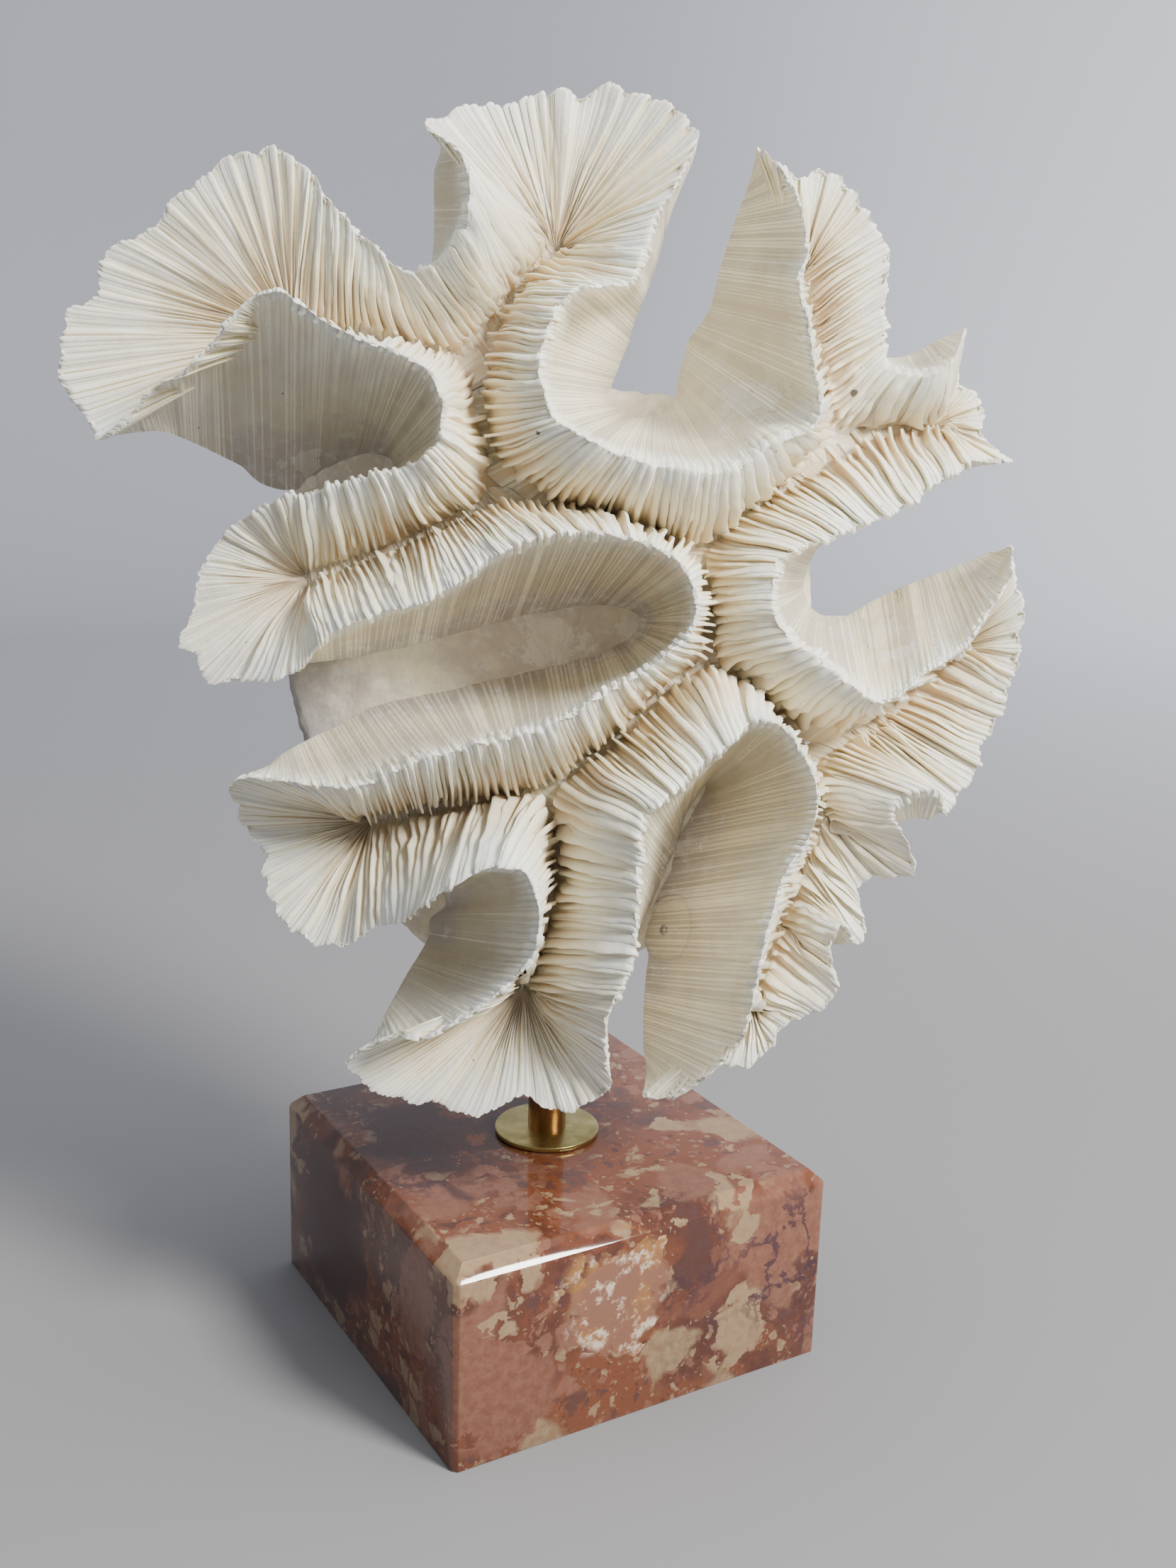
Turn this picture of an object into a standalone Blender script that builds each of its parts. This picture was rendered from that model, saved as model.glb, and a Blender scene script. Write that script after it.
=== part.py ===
# Brain coral on a stand: a folded coral with one long rim, on a brass rod,
# a brass disc and a block of red-brown marble.
# Metres, +Z up. Origin: centre of the block's underside. X and Y run along its sides.
import bpy
import bmesh
import numpy as np
from math import cos, radians, sin
from mathutils import Vector
from mathutils.geometry import normal, tessellate_polygon

MM = 0.001

# Stand
BLOCK_SIDE = 100 * MM
BLOCK_HEIGHT = 49 * MM
BLOCK_CHAMFER = 3.4 * MM
BLOCK_ARRIS = 1.3 * MM
DISC_RADIUS = 13 * MM
DISC_THICKNESS = 1.2 * MM
DISC_SEGMENTS = 48
ROD_RADIUS = 4.75 * MM
ROD_SEGMENTS = 32
ROD_TOP = 132 * MM
ROD_SOCKET_DEPTH = 20 * MM
GAP = 0.3 * MM
SMOOTH_ANGLE = radians(40)

# Face frame of the coral: its open side looks at a viewing point in front of it.
# A control point (u, v, w) is in millimetres: u to the right and v up as seen from there,
# both measured on a plane SIGHT away, and w forward from the coral's own middle plane.
EYE = Vector((-187.3, -326.6, 233.7))
VIEW_TURN = radians(31.0)
VIEW_DROP = radians(14.1)
VIEW_ROLL = radians(1.8)
SIGHT = 376.0
FORWARD = 10.0

# Coral walls
COLUMN_STEP = 4.0
GROOVE_HALF_WIDTH = 1.0
KEEL_INSET = 0.6
RIM_THICKNESS = 2.2
RIB_HEIGHT = 1.0
RIB_RISE, RIB_LEAN = 0.8, 0.6
LOBE_GAP = 0.5
STALK_FRONT = -15.6
# Shares of the way from floor to rim, and from rim to foot, at which the wall's curves pull
SHOULDER_OUT, SHOULDER_RISE = 0.38, 0.75
FLANK_OUT, FLANK_FALL = 0.3, 0.55
SLOPE_STEPS = (0.35, 0.7)
WALL_STEPS = (0.33, 0.66)

# Groove floors, as (u, v, w)
GROOVES = {
    "ul_end": (-68, 103.5, -2), "ul_mid": (-53, 104.5, 0), "ul_in": (-39.5, 101.5, 4),
    "n0": (-28.5, 99, 7), "top_in": (-20.5, 108, 4), "top_mid": (-14.5, 116.5, 1), "top_end": (-7.5, 123, -2),
    "m01a": (-25, 88, 8), "m01b": (-23, 76.5, 9), "n1": (-21, 66, 9),
    "lm_a": (-28.5, 62.5, 8), "lm_b": (-39.5, 57, 6), "lm_c": (-52.5, 52, 3), "lm_end": (-65, 47.5, 0),
    "m12a": (-9, 65, 10), "m12b": (4, 64, 11), "m12c": (16.5, 58, 11), "n2": (25.5, 53.5, 11),
    "m23a": (34.5, 62.5, 10), "m23b": (45, 68.5, 8), "n3": (56, 81, 4),
    "ur_mid": (53.5, 97.5, -2), "ur_end": (49, 117, -7), "r_mid": (68, 82, 2), "r_end": (80, 83, 0),
    "m24": (28, 41, 11), "n4": (28, 29.5, 11),
    "m45a": (18, 22, 11), "m45b": (8, 11.5, 11), "m45c": (-1, 5, 11), "n5": (-9.5, -1, 10),
    "ll_a": (-21.5, -3.5, 8), "ll_b": (-34.5, -5.5, 4), "ll_end": (-50, -8.5, -2),
    "b_a": (-7, -14, 8), "b_b": (-9, -27.5, 6), "b_end": (-15, -46.5, 1),
    "m46a": (37, 22.5, 9), "m46b": (46, 13.5, 7), "n6": (51.5, 5.5, 4),
    "rl_a": (61.5, 11.5, 2), "rl_b": (70.5, 17.5, -2), "rl_end": (84.5, 31.5, -6),
    "n7": (54, -6.5, 2), "br_a": (50, -17, 0), "br_b": (44, -32, -3), "br_end": (37.5, -50, -4),
}

# The rim, clockwise from the notch between the upper left and the top lobe.
# Each run: the lobe it belongs to, the groove it falls to, the foot of its outer wall, its rim points.
# The groove and the foot slide on to the next run's along the run.
RIM = [
    ("top", "n0", (-38, 110, -13), [(-42, 119, 10), (-36, 120.5, 13)]),
    ("top", "top_in", (-35.5, 124, -9), [(-31, 125, 17), (-27.5, 133, 20)]),
    ("top", "top_mid", (-36, 142, -4), [(-28, 142, 20), (-30, 146.5, 18), (-36.5, 151.5, 15)]),
    ("top", "top_end", (-32, 149, -3), [(-38, 153.5, 11), (-29.5, 156.5, 6), (-21, 158, 3)]),
    ("top", "top_end", (-14, 147, -8), [(-12, 160, 1), (-7, 161.5, 2), (-1.5, 161, 1), (5, 163.5, 1)]),
    ("top", "top_end", (8, 148, -8), [(12, 160, 3), (19.5, 158, 5), (23, 153.5, 8)]),
    ("top", "top_end", (21, 138, -6), [(26, 150, 11), (23, 142.5, 15), (16.5, 132, 19)]),
    ("top", "top_end", (15, 117, -10), [(14, 124, 21), (10.5, 116, 23)]),
    ("top", "top_mid", (11, 107, -13), [(3, 115, 25), (-3, 114, 26)]),
    ("centre", "top_in", (7, 100, -15), [(-7.5, 108, 27), (-11, 98.5, 28)]),
    ("centre", "m01a", (3, 89, -15), [(-10, 90, 29)]),
    ("centre", "m01b", (6, 86, -15), [(-5, 82.5, 30)]),
    ("centre", "m12a", (11, 84, -15), [(5, 78, 30)]),
    ("centre", "m12c", (17, 84.5, -15), [(18, 74, 29)]),
    ("centre", "n2", (21, 87, -15), [(29.5, 72.5, 28)]),
    ("centre", "m23a", (22, 91, -15), [(36, 74, 27)]),
    ("centre", "m23b", (23, 95, -15), [(42, 78.5, 26)]),
    ("centre", "n3", (25, 100, -15), [(51.5, 82, 24), (54, 88, 24)]),
    ("upper_right", "ur_mid", (27, 105, -14), [(52.5, 96, 24), (51, 107.5, 25)]),
    ("upper_right", "ur_end", (30, 118, -11), [(49, 115.5, 25), (51, 124, 23)]),
    ("upper_right", "ur_end", (34, 131, -7), [(49, 134.5, 20), (46, 141, 17)]),
    ("upper_right", "ur_end", (38, 141, -1), [(39, 147.5, 11), (45, 144, 5)]),
    ("upper_right", "ur_end", (47, 134, -9), [(50, 141.5, 1), (53.5, 143, -1), (61.5, 136, -2)]),
    ("upper_right", "ur_end", (59, 122, -12), [(67, 128.5, -1), (71, 124.5, 0), (69, 115.5, 1)]),
    ("upper_right", "ur_mid", (64, 107, -12), [(69, 105.5, 3)]),
    ("right", "n3", (67, 98, -11), [(69.5, 97, 6)]),
    ("right", "r_mid", (75, 99, -8), [(77, 94.5, 12)]),
    ("right", "r_end", (79, 102, -3), [(83.5, 97, 13)]),
    ("right", "r_end", (85, 104.5, 2), [(88, 106.5, 10), (86, 99, 3)]),
    ("right", "r_end", (82, 93, -6), [(86.5, 92, 1), (91.5, 88, 0), (91, 83, 1), (93.5, 78, 3)]),
    ("right", "r_end", (92, 75, -1), [(98, 75, 6), (90, 74, 10)]),
    ("right", "r_end", (82, 71, -6), [(84.5, 71, 13)]),
    ("right", "r_mid", (73, 67, -10), [(77, 66.5, 15), (69.5, 62, 17)]),
    ("centre", "m23b", (60, 60, -14), [(61.5, 58.5, 19)]),
    ("centre", "m23a", (53, 55, -15), [(52.5, 55.5, 21)]),
    ("centre", "n2", (50, 50, -15), [(45.5, 52, 23), (43.5, 47.5, 25)]),
    ("centre", "m24", (49, 44, -15), [(43.5, 40.5, 26)]),
    ("centre", "n4", (51, 40, -15), [(48, 33, 26)]),
    ("centre", "m46a", (54, 38, -15), [(55, 28, 26)]),
    ("centre", "m46b", (58, 37.5, -14), [(61.5, 23, 26)]),
    ("lower_right", "rl_a", (63, 39, -12), [(67, 19, 25), (72, 20.5, 23)]),
    ("lower_right", "rl_end", (75, 43.5, -8), [(78.5, 26, 20), (87, 31.5, 18)]),
    ("lower_right", "rl_end", (86, 48, -4), [(93.5, 41, 15), (98.5, 49.5, 12)]),
    ("lower_right", "rl_end", (93, 52, 0), [(98, 55, 9), (100, 47.5, 4)]),
    ("lower_right", "rl_end", (93, 40, -8), [(101.5, 41, 1), (100.5, 33, 0)]),
    ("lower_right", "rl_end", (89, 24, -11), [(98, 23, 0), (97, 17, 0)]),
    ("lower_right", "rl_b", (82, 11, -11), [(92, 9, 0), (90.5, 2, 0), (87, -3, 1)]),
    ("lower_right", "rl_a", (80, -4, -4), [(83, -7.5, 2)]),
    ("lower_right", "rl_a", (80, -9, 2), [(82.5, -3, 8), (80, -1, 12)]),
    ("lower_right", "n6", (75, -8, 2), [(74.5, -2.5, 13), (71, -5, 12)]),
    ("lower_right", "n7", (68, -10, -4), [(71, -9, 9), (74.5, -14, 6)]),
    ("lower_right", "n7", (69, -18, -4), [(76.5, -18.5, 4), (74.5, -22, 2), (67, -21.5, 0)]),
    ("bottom_right", "n7", (58, -21, -9), [(62.5, -24, -1)]),
    ("bottom_right", "br_a", (58, -29, -7), [(64, -29.5, 1), (65, -33.5, 1)]),
    ("bottom_right", "br_a", (60, -37.5, -2), [(63, -37.5, 2), (59, -32, 6)]),
    ("bottom_right", "br_b", (54, -37, -7), [(57, -35, 6), (57.5, -42.5, 4)]),
    ("bottom_right", "br_b", (51, -45, -8), [(58.5, -48, 2), (55, -52, 1)]),
    ("bottom_right", "br_end", (42, -50, -9), [(48.5, -54.5, 0), (44, -57.5, 0)]),
    ("bottom_right", "br_end", (33, -56, -8), [(41, -63, 0), (35, -65, 1)]),
    ("bottom_right", "br_end", (22, -61, -6), [(26, -64.5, 2), (18, -68, 5)]),
    ("bottom_right", "br_end", (13.5, -66, -1), [(12.5, -72, 10), (19, -73, 16)]),
    ("bottom_right", "br_end", (12.5, -61, -4), [(25.5, -69.5, 20), (31, -64.5, 22)]),
    ("bottom_right", "br_end", (12.5, -53, -7), [(35.5, -60, 24), (37.5, -53, 26)]),
    ("bottom_right", "br_end", (13, -44, -11), [(39, -45.5, 27)]),
    ("bottom_right", "br_b", (14, -37, -14), [(40.5, -38.5, 28), (43, -28.5, 29)]),
    ("bottom_right", "br_a", (18, -24, -15), [(46, -20, 29), (51, -12.5, 29)]),
    ("centre", "n7", (23, -11, -15), [(53, -5.5, 29)]),
    ("centre", "n6", (26, -5, -15), [(52.5, 1, 29), (49.5, 7, 29)]),
    ("centre", "m46b", (28, -1, -15), [(46, 12.5, 29)]),
    ("centre", "m46a", (28, 1, -15), [(41, 14.5, 29)]),
    ("centre", "n4", (27, 0, -15), [(35, 11.5, 29)]),
    ("centre", "m45a", (25, -3, -15), [(29.5, 6.5, 30)]),
    ("centre", "m45b", (22, -8, -15), [(22, 0, 31)]),
    ("centre", "m45c", (20, -14, -15), [(14, -6, 32)]),
    ("centre", "n5", (18, -19, -15), [(12, -11.5, 32)]),
    ("centre", "b_a", (15, -26, -15), [(12, -20.5, 31)]),
    ("bottom", "b_b", (12, -33, -14), [(11.5, -30, 30), (10.5, -40, 28)]),
    ("bottom", "b_end", (7, -46, -11), [(7.5, -49, 26), (4.5, -54.5, 22)]),
    ("bottom", "b_end", (2, -56, -7), [(5, -63, 17), (6, -69.5, 13), (3.5, -73, 10)]),
    ("bottom", "b_end", (-6, -62, -5), [(-4, -76.5, 8), (-10.5, -75, 7), (-15.5, -72, 7), (-21.5, -74.5, 7)]),
    ("bottom", "b_end", (-27, -63, -4), [(-28, -77, 7), (-37.5, -74.5, 7), (-47.5, -72.5, 8)]),
    ("bottom", "b_end", (-46, -62, 0), [(-53, -68.5, 9), (-56.5, -64.5, 12)]),
    ("bottom", "b_end", (-49, -57, 3), [(-51, -61, 17), (-44, -58.5, 21)]),
    ("bottom", "b_end", (-45, -49, -3), [(-37, -58.5, 24), (-29.5, -54.5, 26)]),
    ("bottom", "b_end", (-41, -42, -8), [(-21.5, -49, 27), (-16, -44, 28)]),
    ("bottom", "b_end", (-37, -35, -13), [(-12, -38.5, 29)]),
    ("centre", "b_b", (-34, -30, -15), [(-11, -31, 30), (-12, -25, 30)]),
    ("centre", "b_a", (-32, -28, -15), [(-15, -20.5, 30)]),
    ("centre", "n5", (-32, -26, -15), [(-20.5, -19.5, 30)]),
    ("lower_left", "ll_a", (-35, -24, -15), [(-28, -22, 28), (-36, -26.5, 25)]),
    ("lower_left", "ll_b", (-42, -23, -14), [(-40.5, -30.5, 21), (-44, -32, 17)]),
    ("lower_left", "ll_end", (-52, -22, -11), [(-51, -35, 12), (-59, -38, 8), (-68, -36, 6)]),
    ("lower_left", "ll_end", (-63, -19, -10), [(-72.5, -29.5, 5), (-75.5, -23, 4), (-75, -15.5, 4)]),
    ("lower_left", "ll_end", (-70, -8, -8), [(-80, -9.5, 4), (-82, -5.5, 5)]),
    ("lower_left", "ll_end", (-77, 1, -1), [(-84, -0.5, 8), (-79.5, 1.5, 13)]),
    ("lower_left", "ll_end", (-71, 7, -5), [(-70.5, 0.5, 18), (-62, -0.5, 22)]),
    ("lower_left", "ll_end", (-62, 12, -12), [(-54, -0.5, 25), (-46, 2.5, 27)]),
    ("centre", "ll_b", (-46, 18, -15), [(-36, 6.5, 29)]),
    ("centre", "ll_a", (-30, 21.5, -15), [(-24.5, 9.5, 31)]),
    ("centre", "n5", (-17, 24.5, -15), [(-14.5, 12, 32)]),
    ("centre", "m45c", (-7, 27, -15), [(-5, 16, 33)]),
    ("centre", "m45b", (2, 29.5, -15), [(4, 21.5, 33)]),
    ("centre", "m45a", (8, 32, -15), [(12.5, 26, 33)]),
    ("centre", "n4", (12, 35, -15), [(19.5, 31, 33), (24, 36, 33)]),
    ("centre", "m24", (13, 39, -15), [(25, 42.5, 33)]),
    ("centre", "n2", (10, 41, -15), [(22.5, 49.5, 33)]),
    ("centre", "m12c", (5, 42, -15), [(17, 54, 33)]),
    ("centre", "m12b", (-1, 42, -15), [(9, 56.5, 32)]),
    ("centre", "m12a", (-9, 41, -15), [(-1, 58, 31)]),
    ("centre", "n1", (-17, 39.5, -15), [(-10.5, 57, 31)]),
    ("centre", "lm_a", (-25, 37, -15), [(-19.5, 53.5, 30), (-28.5, 47.5, 29)]),
    ("centre", "lm_b", (-39, 33, -15), [(-37, 43, 27)]),
    ("left", "lm_c", (-48, 31, -15), [(-46, 40.5, 25), (-55, 36.5, 22)]),
    ("left", "lm_end", (-62, 28, -13), [(-62, 32, 19), (-65.5, 27, 15)]),
    ("left", "lm_end", (-73, 27.5, -8), [(-73, 24, 12), (-80, 23, 9)]),
    ("left", "lm_end", (-83, 28, -1), [(-87, 23, 6), (-90, 28, 4), (-94.5, 33, 3)]),
    ("left", "lm_end", (-85, 37, -3), [(-93.5, 38, 3), (-90.5, 44.5, 3)]),
    ("left", "lm_end", (-81, 46, -6), [(-89.5, 50, 4), (-86, 56.5, 5)]),
    ("left", "lm_end", (-75, 55, -9), [(-82, 61.5, 7), (-74.5, 65, 10)]),
    ("left", "lm_end", (-66, 62, -12), [(-67, 67, 13)]),
    ("centre", "lm_c", (-58, 65, -14), [(-57.5, 69.5, 17)]),
    ("centre", "lm_b", (-51, 68, -15), [(-47.5, 72.5, 21)]),
    ("centre", "lm_a", (-46, 71, -15), [(-39.5, 74.5, 24)]),
    ("centre", "n1", (-44, 73, -15), [(-35, 78.5, 26)]),
    ("centre", "m01a", (-44, 75, -15), [(-33.5, 85.5, 27)]),
    ("centre", "n0", (-46, 77, -15), [(-35, 92, 28), (-38.5, 96.5, 28)]),
    ("upper_left", "ul_in", (-51, 77.5, -15), [(-45, 100, 28)]),
    ("upper_left", "ul_mid", (-57, 76, -15), [(-52.5, 103, 28), (-60, 106.5, 28)]),
    ("upper_left", "ul_end", (-67, 70, -15), [(-67, 111.5, 28), (-72, 114.5, 28)]),
    ("upper_left", "ul_end", (-77, 71.5, -14), [(-78.5, 112.5, 27), (-84, 106, 25)]),
    ("upper_left", "ul_end", (-88, 77, -9), [(-88, 101, 22), (-94, 95, 19)]),
    ("upper_left", "ul_end", (-98, 81.5, -4), [(-101, 91.5, 15), (-106, 85.5, 12)]),
    ("upper_left", "ul_end", (-110, 80.5, 2), [(-114, 79, 8), (-118.5, 85.5, 4)]),
    ("upper_left", "ul_end", (-113, 90, -4), [(-123, 91.5, 2), (-122.5, 101, 0), (-121.5, 109, -1)]),
    ("upper_left", "ul_end", (-106, 106, -9), [(-114.5, 113, -2), (-113, 120.5, -2), (-108.5, 125.5, -2)]),
    ("upper_left", "ul_end", (-96, 119, -10), [(-100.5, 130.5, -2), (-93.5, 138, -2), (-87, 143, -2)]),
    ("upper_left", "ul_end", (-80, 131, -10), [(-79.5, 146.5, -1), (-72, 147, 0)]),
    ("upper_left", "ul_end", (-68, 130, -10), [(-64, 143, 2), (-60, 136, 4)]),
    ("upper_left", "ul_mid", (-55, 119, -11), [(-53, 128.5, 6)]),
    ("upper_left", "ul_in", (-47, 114, -12), [(-47.5, 122.5, 8)]),
]

# Outline of the stalk's front, where the floors of the clefts show it
STALK_OUTLINE = [
    (-68, 66), (-69, 45), (-69.5, 25), (-66, 12), (-60, -4), (-50, -22), (-39, -36), (-20, -42), (0, -42),
    (11, -39), (28, -30), (44, -12), (50, 10), (51, 30), (51.5, 48), (47, 64), (34, 80), (18, 90), (4, 91),
    (-20, 98), (-42, 96), (-58, 84),
]
STALK_CENTRE = (-8.0, 24.0)
# Depth behind the cleft floors and size of each section of the stalk
STALK_SECTIONS = [(0.0, 1.0), (7.0, 0.96), (16.0, 0.82), (27.0, 0.62), (35.0, 0.42), (39.0, 0.2)]

LOBES = ["top", "upper_right", "right", "lower_right", "bottom_right", "bottom", "lower_left", "left", "upper_left"]

MARBLE = ("marble", (0.30, 0.13, 0.09), 0.15, 0.0)
BRASS = ("brass", (0.62, 0.50, 0.20), 0.30, 1.0)
ROD_BRASS = ("rod_brass", (0.45, 0.25, 0.13), 0.30, 1.0)
CORAL = ("coral", (0.85, 0.80, 0.70), 0.70, 0.0)


def clear_scene():
    for obj in list(bpy.data.objects):
        bpy.data.objects.remove(obj, do_unlink=True)


def material(name, spec):
    kind, colour, roughness, metallic = spec
    mat = bpy.data.materials.new(f"{name}_{kind}")
    mat.use_nodes = True
    shader = mat.node_tree.nodes["Principled BSDF"]
    shader.inputs["Base Color"].default_value = (*colour, 1.0)
    shader.inputs["Roughness"].default_value = roughness
    shader.inputs["Metallic"].default_value = metallic
    return mat


def add_object(collection, name, mesh, spec=None):
    obj = bpy.data.objects.new(name, mesh)
    collection.objects.link(obj)
    if spec:
        mesh.materials.append(material(name, spec))
    return obj


def mesh_from(bm, name):
    mesh = bpy.data.meshes.new(name)
    bm.to_mesh(mesh)
    bm.free()
    return mesh


def cylinder_mesh(name, radius, bottom, top, segments):
    bm = bmesh.new()
    bmesh.ops.create_cone(bm, cap_ends=True, segments=segments, radius1=radius, radius2=radius, depth=top - bottom)
    bmesh.ops.translate(bm, vec=(0, 0, (top + bottom) / 2), verts=bm.verts)
    return mesh_from(bm, name)


def cut(obj, cutter):
    cutter.hide_render = True
    cutter.display_type = "WIRE"
    boolean = obj.modifiers.new("bore", "BOOLEAN")
    boolean.operation = "DIFFERENCE"
    boolean.object = cutter


def build_stand(parts, cutters):
    bm = bmesh.new()
    bmesh.ops.create_cube(bm, size=1.0)
    bmesh.ops.scale(bm, vec=(BLOCK_SIDE, BLOCK_SIDE, BLOCK_HEIGHT), verts=bm.verts)
    bmesh.ops.translate(bm, vec=(0, 0, BLOCK_HEIGHT / 2), verts=bm.verts)
    top = [e for e in bm.edges if all(v.co.z > BLOCK_HEIGHT / 2 for v in e.verts)]
    bmesh.ops.bevel(bm, geom=top, offset=BLOCK_CHAMFER, segments=1, profile=0.5, affect="EDGES")
    upright = [e for e in bm.edges if abs(e.verts[0].co.z - e.verts[1].co.z) > BLOCK_HEIGHT / 2]
    bmesh.ops.bevel(bm, geom=upright, offset=BLOCK_ARRIS, segments=1, profile=0.5, affect="EDGES")
    block = add_object(parts, "marble_base", mesh_from(bm, "marble_base"), MARBLE)

    disc_bottom = BLOCK_HEIGHT + GAP
    disc_top = disc_bottom + DISC_THICKNESS
    disc_mesh = cylinder_mesh("brass_disc", DISC_RADIUS, disc_bottom, disc_top, DISC_SEGMENTS)
    disc = add_object(parts, "brass_disc", disc_mesh, BRASS)
    rod_foot = BLOCK_HEIGHT - ROD_SOCKET_DEPTH
    rod_mesh = cylinder_mesh("brass_rod", ROD_RADIUS, rod_foot, ROD_TOP, ROD_SEGMENTS)
    rod = add_object(parts, "brass_rod", rod_mesh, ROD_BRASS)
    bore_mesh = cylinder_mesh("rod_bore", ROD_RADIUS + GAP, rod_foot - GAP, ROD_TOP + GAP, ROD_SEGMENTS)
    bore = add_object(cutters, "rod_bore", bore_mesh)
    cut(block, bore)
    cut(disc, bore)
    for obj in (disc, rod):
        obj.data.shade_smooth()
        obj.data.set_sharp_from_angle(angle=SMOOTH_ANGLE)
    return bore


def face_axes():
    turn, drop, roll = VIEW_TURN, VIEW_DROP, VIEW_ROLL
    sight = Vector((sin(turn) * cos(drop), cos(turn) * cos(drop), -sin(drop)))
    level = Vector((cos(turn), -sin(turn), 0.0))
    upright = level.cross(sight)
    right = cos(roll) * level + sin(roll) * upright
    up = -sin(roll) * level + cos(roll) * upright
    return right, up, sight


def to_world(point, axes):
    """A face-frame point (mm) in metres: it keeps its direction from the viewing point at any depth."""
    right, up, sight = axes
    u, v, w = (float(value) for value in point)
    distance = SIGHT - FORWARD - w
    ray = sight + (u / SIGHT) * right + (v / SIGHT) * up
    return (EYE + distance * ray) * MM


def catmull(p0, p1, p2, p3, t):
    return 0.5 * ((2 * p1) + (p2 - p0) * t + (2 * p0 - 5 * p1 + 4 * p2 - p3) * t * t
                  + (3 * p1 - p0 - 3 * p2 + p3) * t ** 3)


def control_columns():
    """One control column (rim, groove, foot, lobe) for each rim point."""
    columns = []
    for run, (lobe, groove, foot, points) in enumerate(RIM):
        following = RIM[(run + 1) % len(RIM)]
        groove_a, groove_b = np.array(GROOVES[groove], float), np.array(GROOVES[following[1]], float)
        foot_a, foot_b = np.array(foot, float), np.array(following[2], float)
        for k, rim in enumerate(points):
            t = k / len(points)
            columns.append((lobe, np.array(rim, float), groove_a + (groove_b - groove_a) * t,
                            foot_a + (foot_b - foot_a) * t))
    return columns


def dense_columns():
    """Columns about COLUMN_STEP apart along the rim; each keeps the lobe of the control column before it."""
    control = control_columns()
    count = len(control)
    dense = []
    for i in range(count):
        around = [control[(i + k) % count] for k in (-1, 0, 1, 2)]
        length = np.linalg.norm(around[2][1] - around[1][1])
        steps = max(1, round(length / COLUMN_STEP))
        for step in range(steps):
            t = step / steps
            rim = catmull(*(column[1] for column in around), t)
            groove = around[1][2] * (1 - t) + around[2][2] * t
            foot = around[1][3] * (1 - t) + around[2][3] * t
            dense.append((around[1][0], rim, groove, foot))
    return dense


def bezier(a, b, c, t):
    return a * (1 - t) ** 2 + 2 * b * t * (1 - t) + c * t * t


def column_points(rim, groove, foot, rib):
    """Section of the wall: groove floor, ribbed inner slope, rim, smooth outer wall, foot."""
    side = rim - groove
    side[2] = 0
    side /= max(np.linalg.norm(side), 1e-6)
    floor = groove + side * GROOVE_HALF_WIDTH
    shoulder = floor + (rim - floor) * SHOULDER_OUT
    shoulder[2] = floor[2] + (rim[2] - floor[2]) * SHOULDER_RISE
    lift = rib * (RIB_RISE * np.array([0, 0, 1]) - RIB_LEAN * side)
    slope = [bezier(floor, shoulder, rim, t) + lift * t for t in SLOPE_STEPS]
    back = foot - rim
    back /= max(np.linalg.norm(back), 1e-6)
    outer_rim = rim + back * RIM_THICKNESS
    flank = rim + (foot - rim) * FLANK_OUT
    flank[2] = rim[2] + (foot[2] - rim[2]) * FLANK_FALL
    flat_back = np.array([back[0], back[1], 0])
    keel = foot - flat_back * KEEL_INSET
    wall = [bezier(outer_rim, flank, keel, t) for t in WALL_STEPS]
    return [floor, *slope, rim + lift, outer_rim, *wall, keel]


def shell_columns(axes):
    shells = []
    for index, (lobe, rim, groove, foot) in enumerate(dense_columns()):
        rib = RIB_HEIGHT if index % 2 else -RIB_HEIGHT
        points = [to_world(p, axes) for p in column_points(rim, groove, foot, rib)]
        shells.append((lobe, points))
    return shells


def lobe_spans(shells):
    """First and last column of each lobe; its last column is the first one of what follows."""
    spans = {}
    count = len(shells)
    for lobe in LOBES:
        own = [i for i in range(count) if shells[i][0] == lobe]
        first = next(i for i in own if shells[i - 1][0] != lobe)
        spans[lobe] = (first, (first + len(own)) % count)
    return spans


def largest_body(bm):
    """The faces of the largest set that is joined edge to edge."""
    best, seen = set(), set()
    for seed in bm.faces:
        if seed in seen:
            continue
        body, queue = {seed}, [seed]
        while queue:
            for edge in queue.pop().edges:
                for face in edge.link_faces:
                    if face not in body:
                        body.add(face)
                        queue.append(face)
        seen |= body
        if len(body) > len(best):
            best = body
    return best


class ClosedMesh:
    """Collects columns and faces; a column that is used twice keeps its vertices."""

    def __init__(self):
        self.bm = bmesh.new()
        self.columns = {}

    def column(self, index, shells):
        if index not in self.columns:
            self.columns[index] = [self.bm.verts.new(p) for p in shells[index][1]]
        return self.columns[index]

    def strip(self, run, shells):
        for a, b in zip(run, run[1:]):
            left, right = self.column(a, shells), self.column(b, shells)
            for j in range(len(left) - 1):
                self.bm.faces.new((left[j], left[j + 1], right[j + 1], right[j]))

    def fill(self, ring):
        for triangle in tessellate_polygon([[vertex.co for vertex in ring]]):
            corners = [ring[i] for i in triangle]
            folded = self.bm.faces.get(corners)
            if folded:
                # Two caps that share a column close onto each other here
                self.bm.faces.remove(folded)
            else:
                self.bm.faces.new(corners)

    def finish(self, name):
        # Folded caps can leave loose points, or a sliver beside the body
        body = largest_body(self.bm)
        stray = [face for face in self.bm.faces if face not in body]
        bmesh.ops.delete(self.bm, geom=stray, context="FACES")
        loose = [vertex for vertex in self.bm.verts if not vertex.link_faces]
        bmesh.ops.delete(self.bm, geom=loose, context="VERTS")
        bmesh.ops.recalc_face_normals(self.bm, faces=self.bm.faces)
        return mesh_from(self.bm, name)


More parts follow.
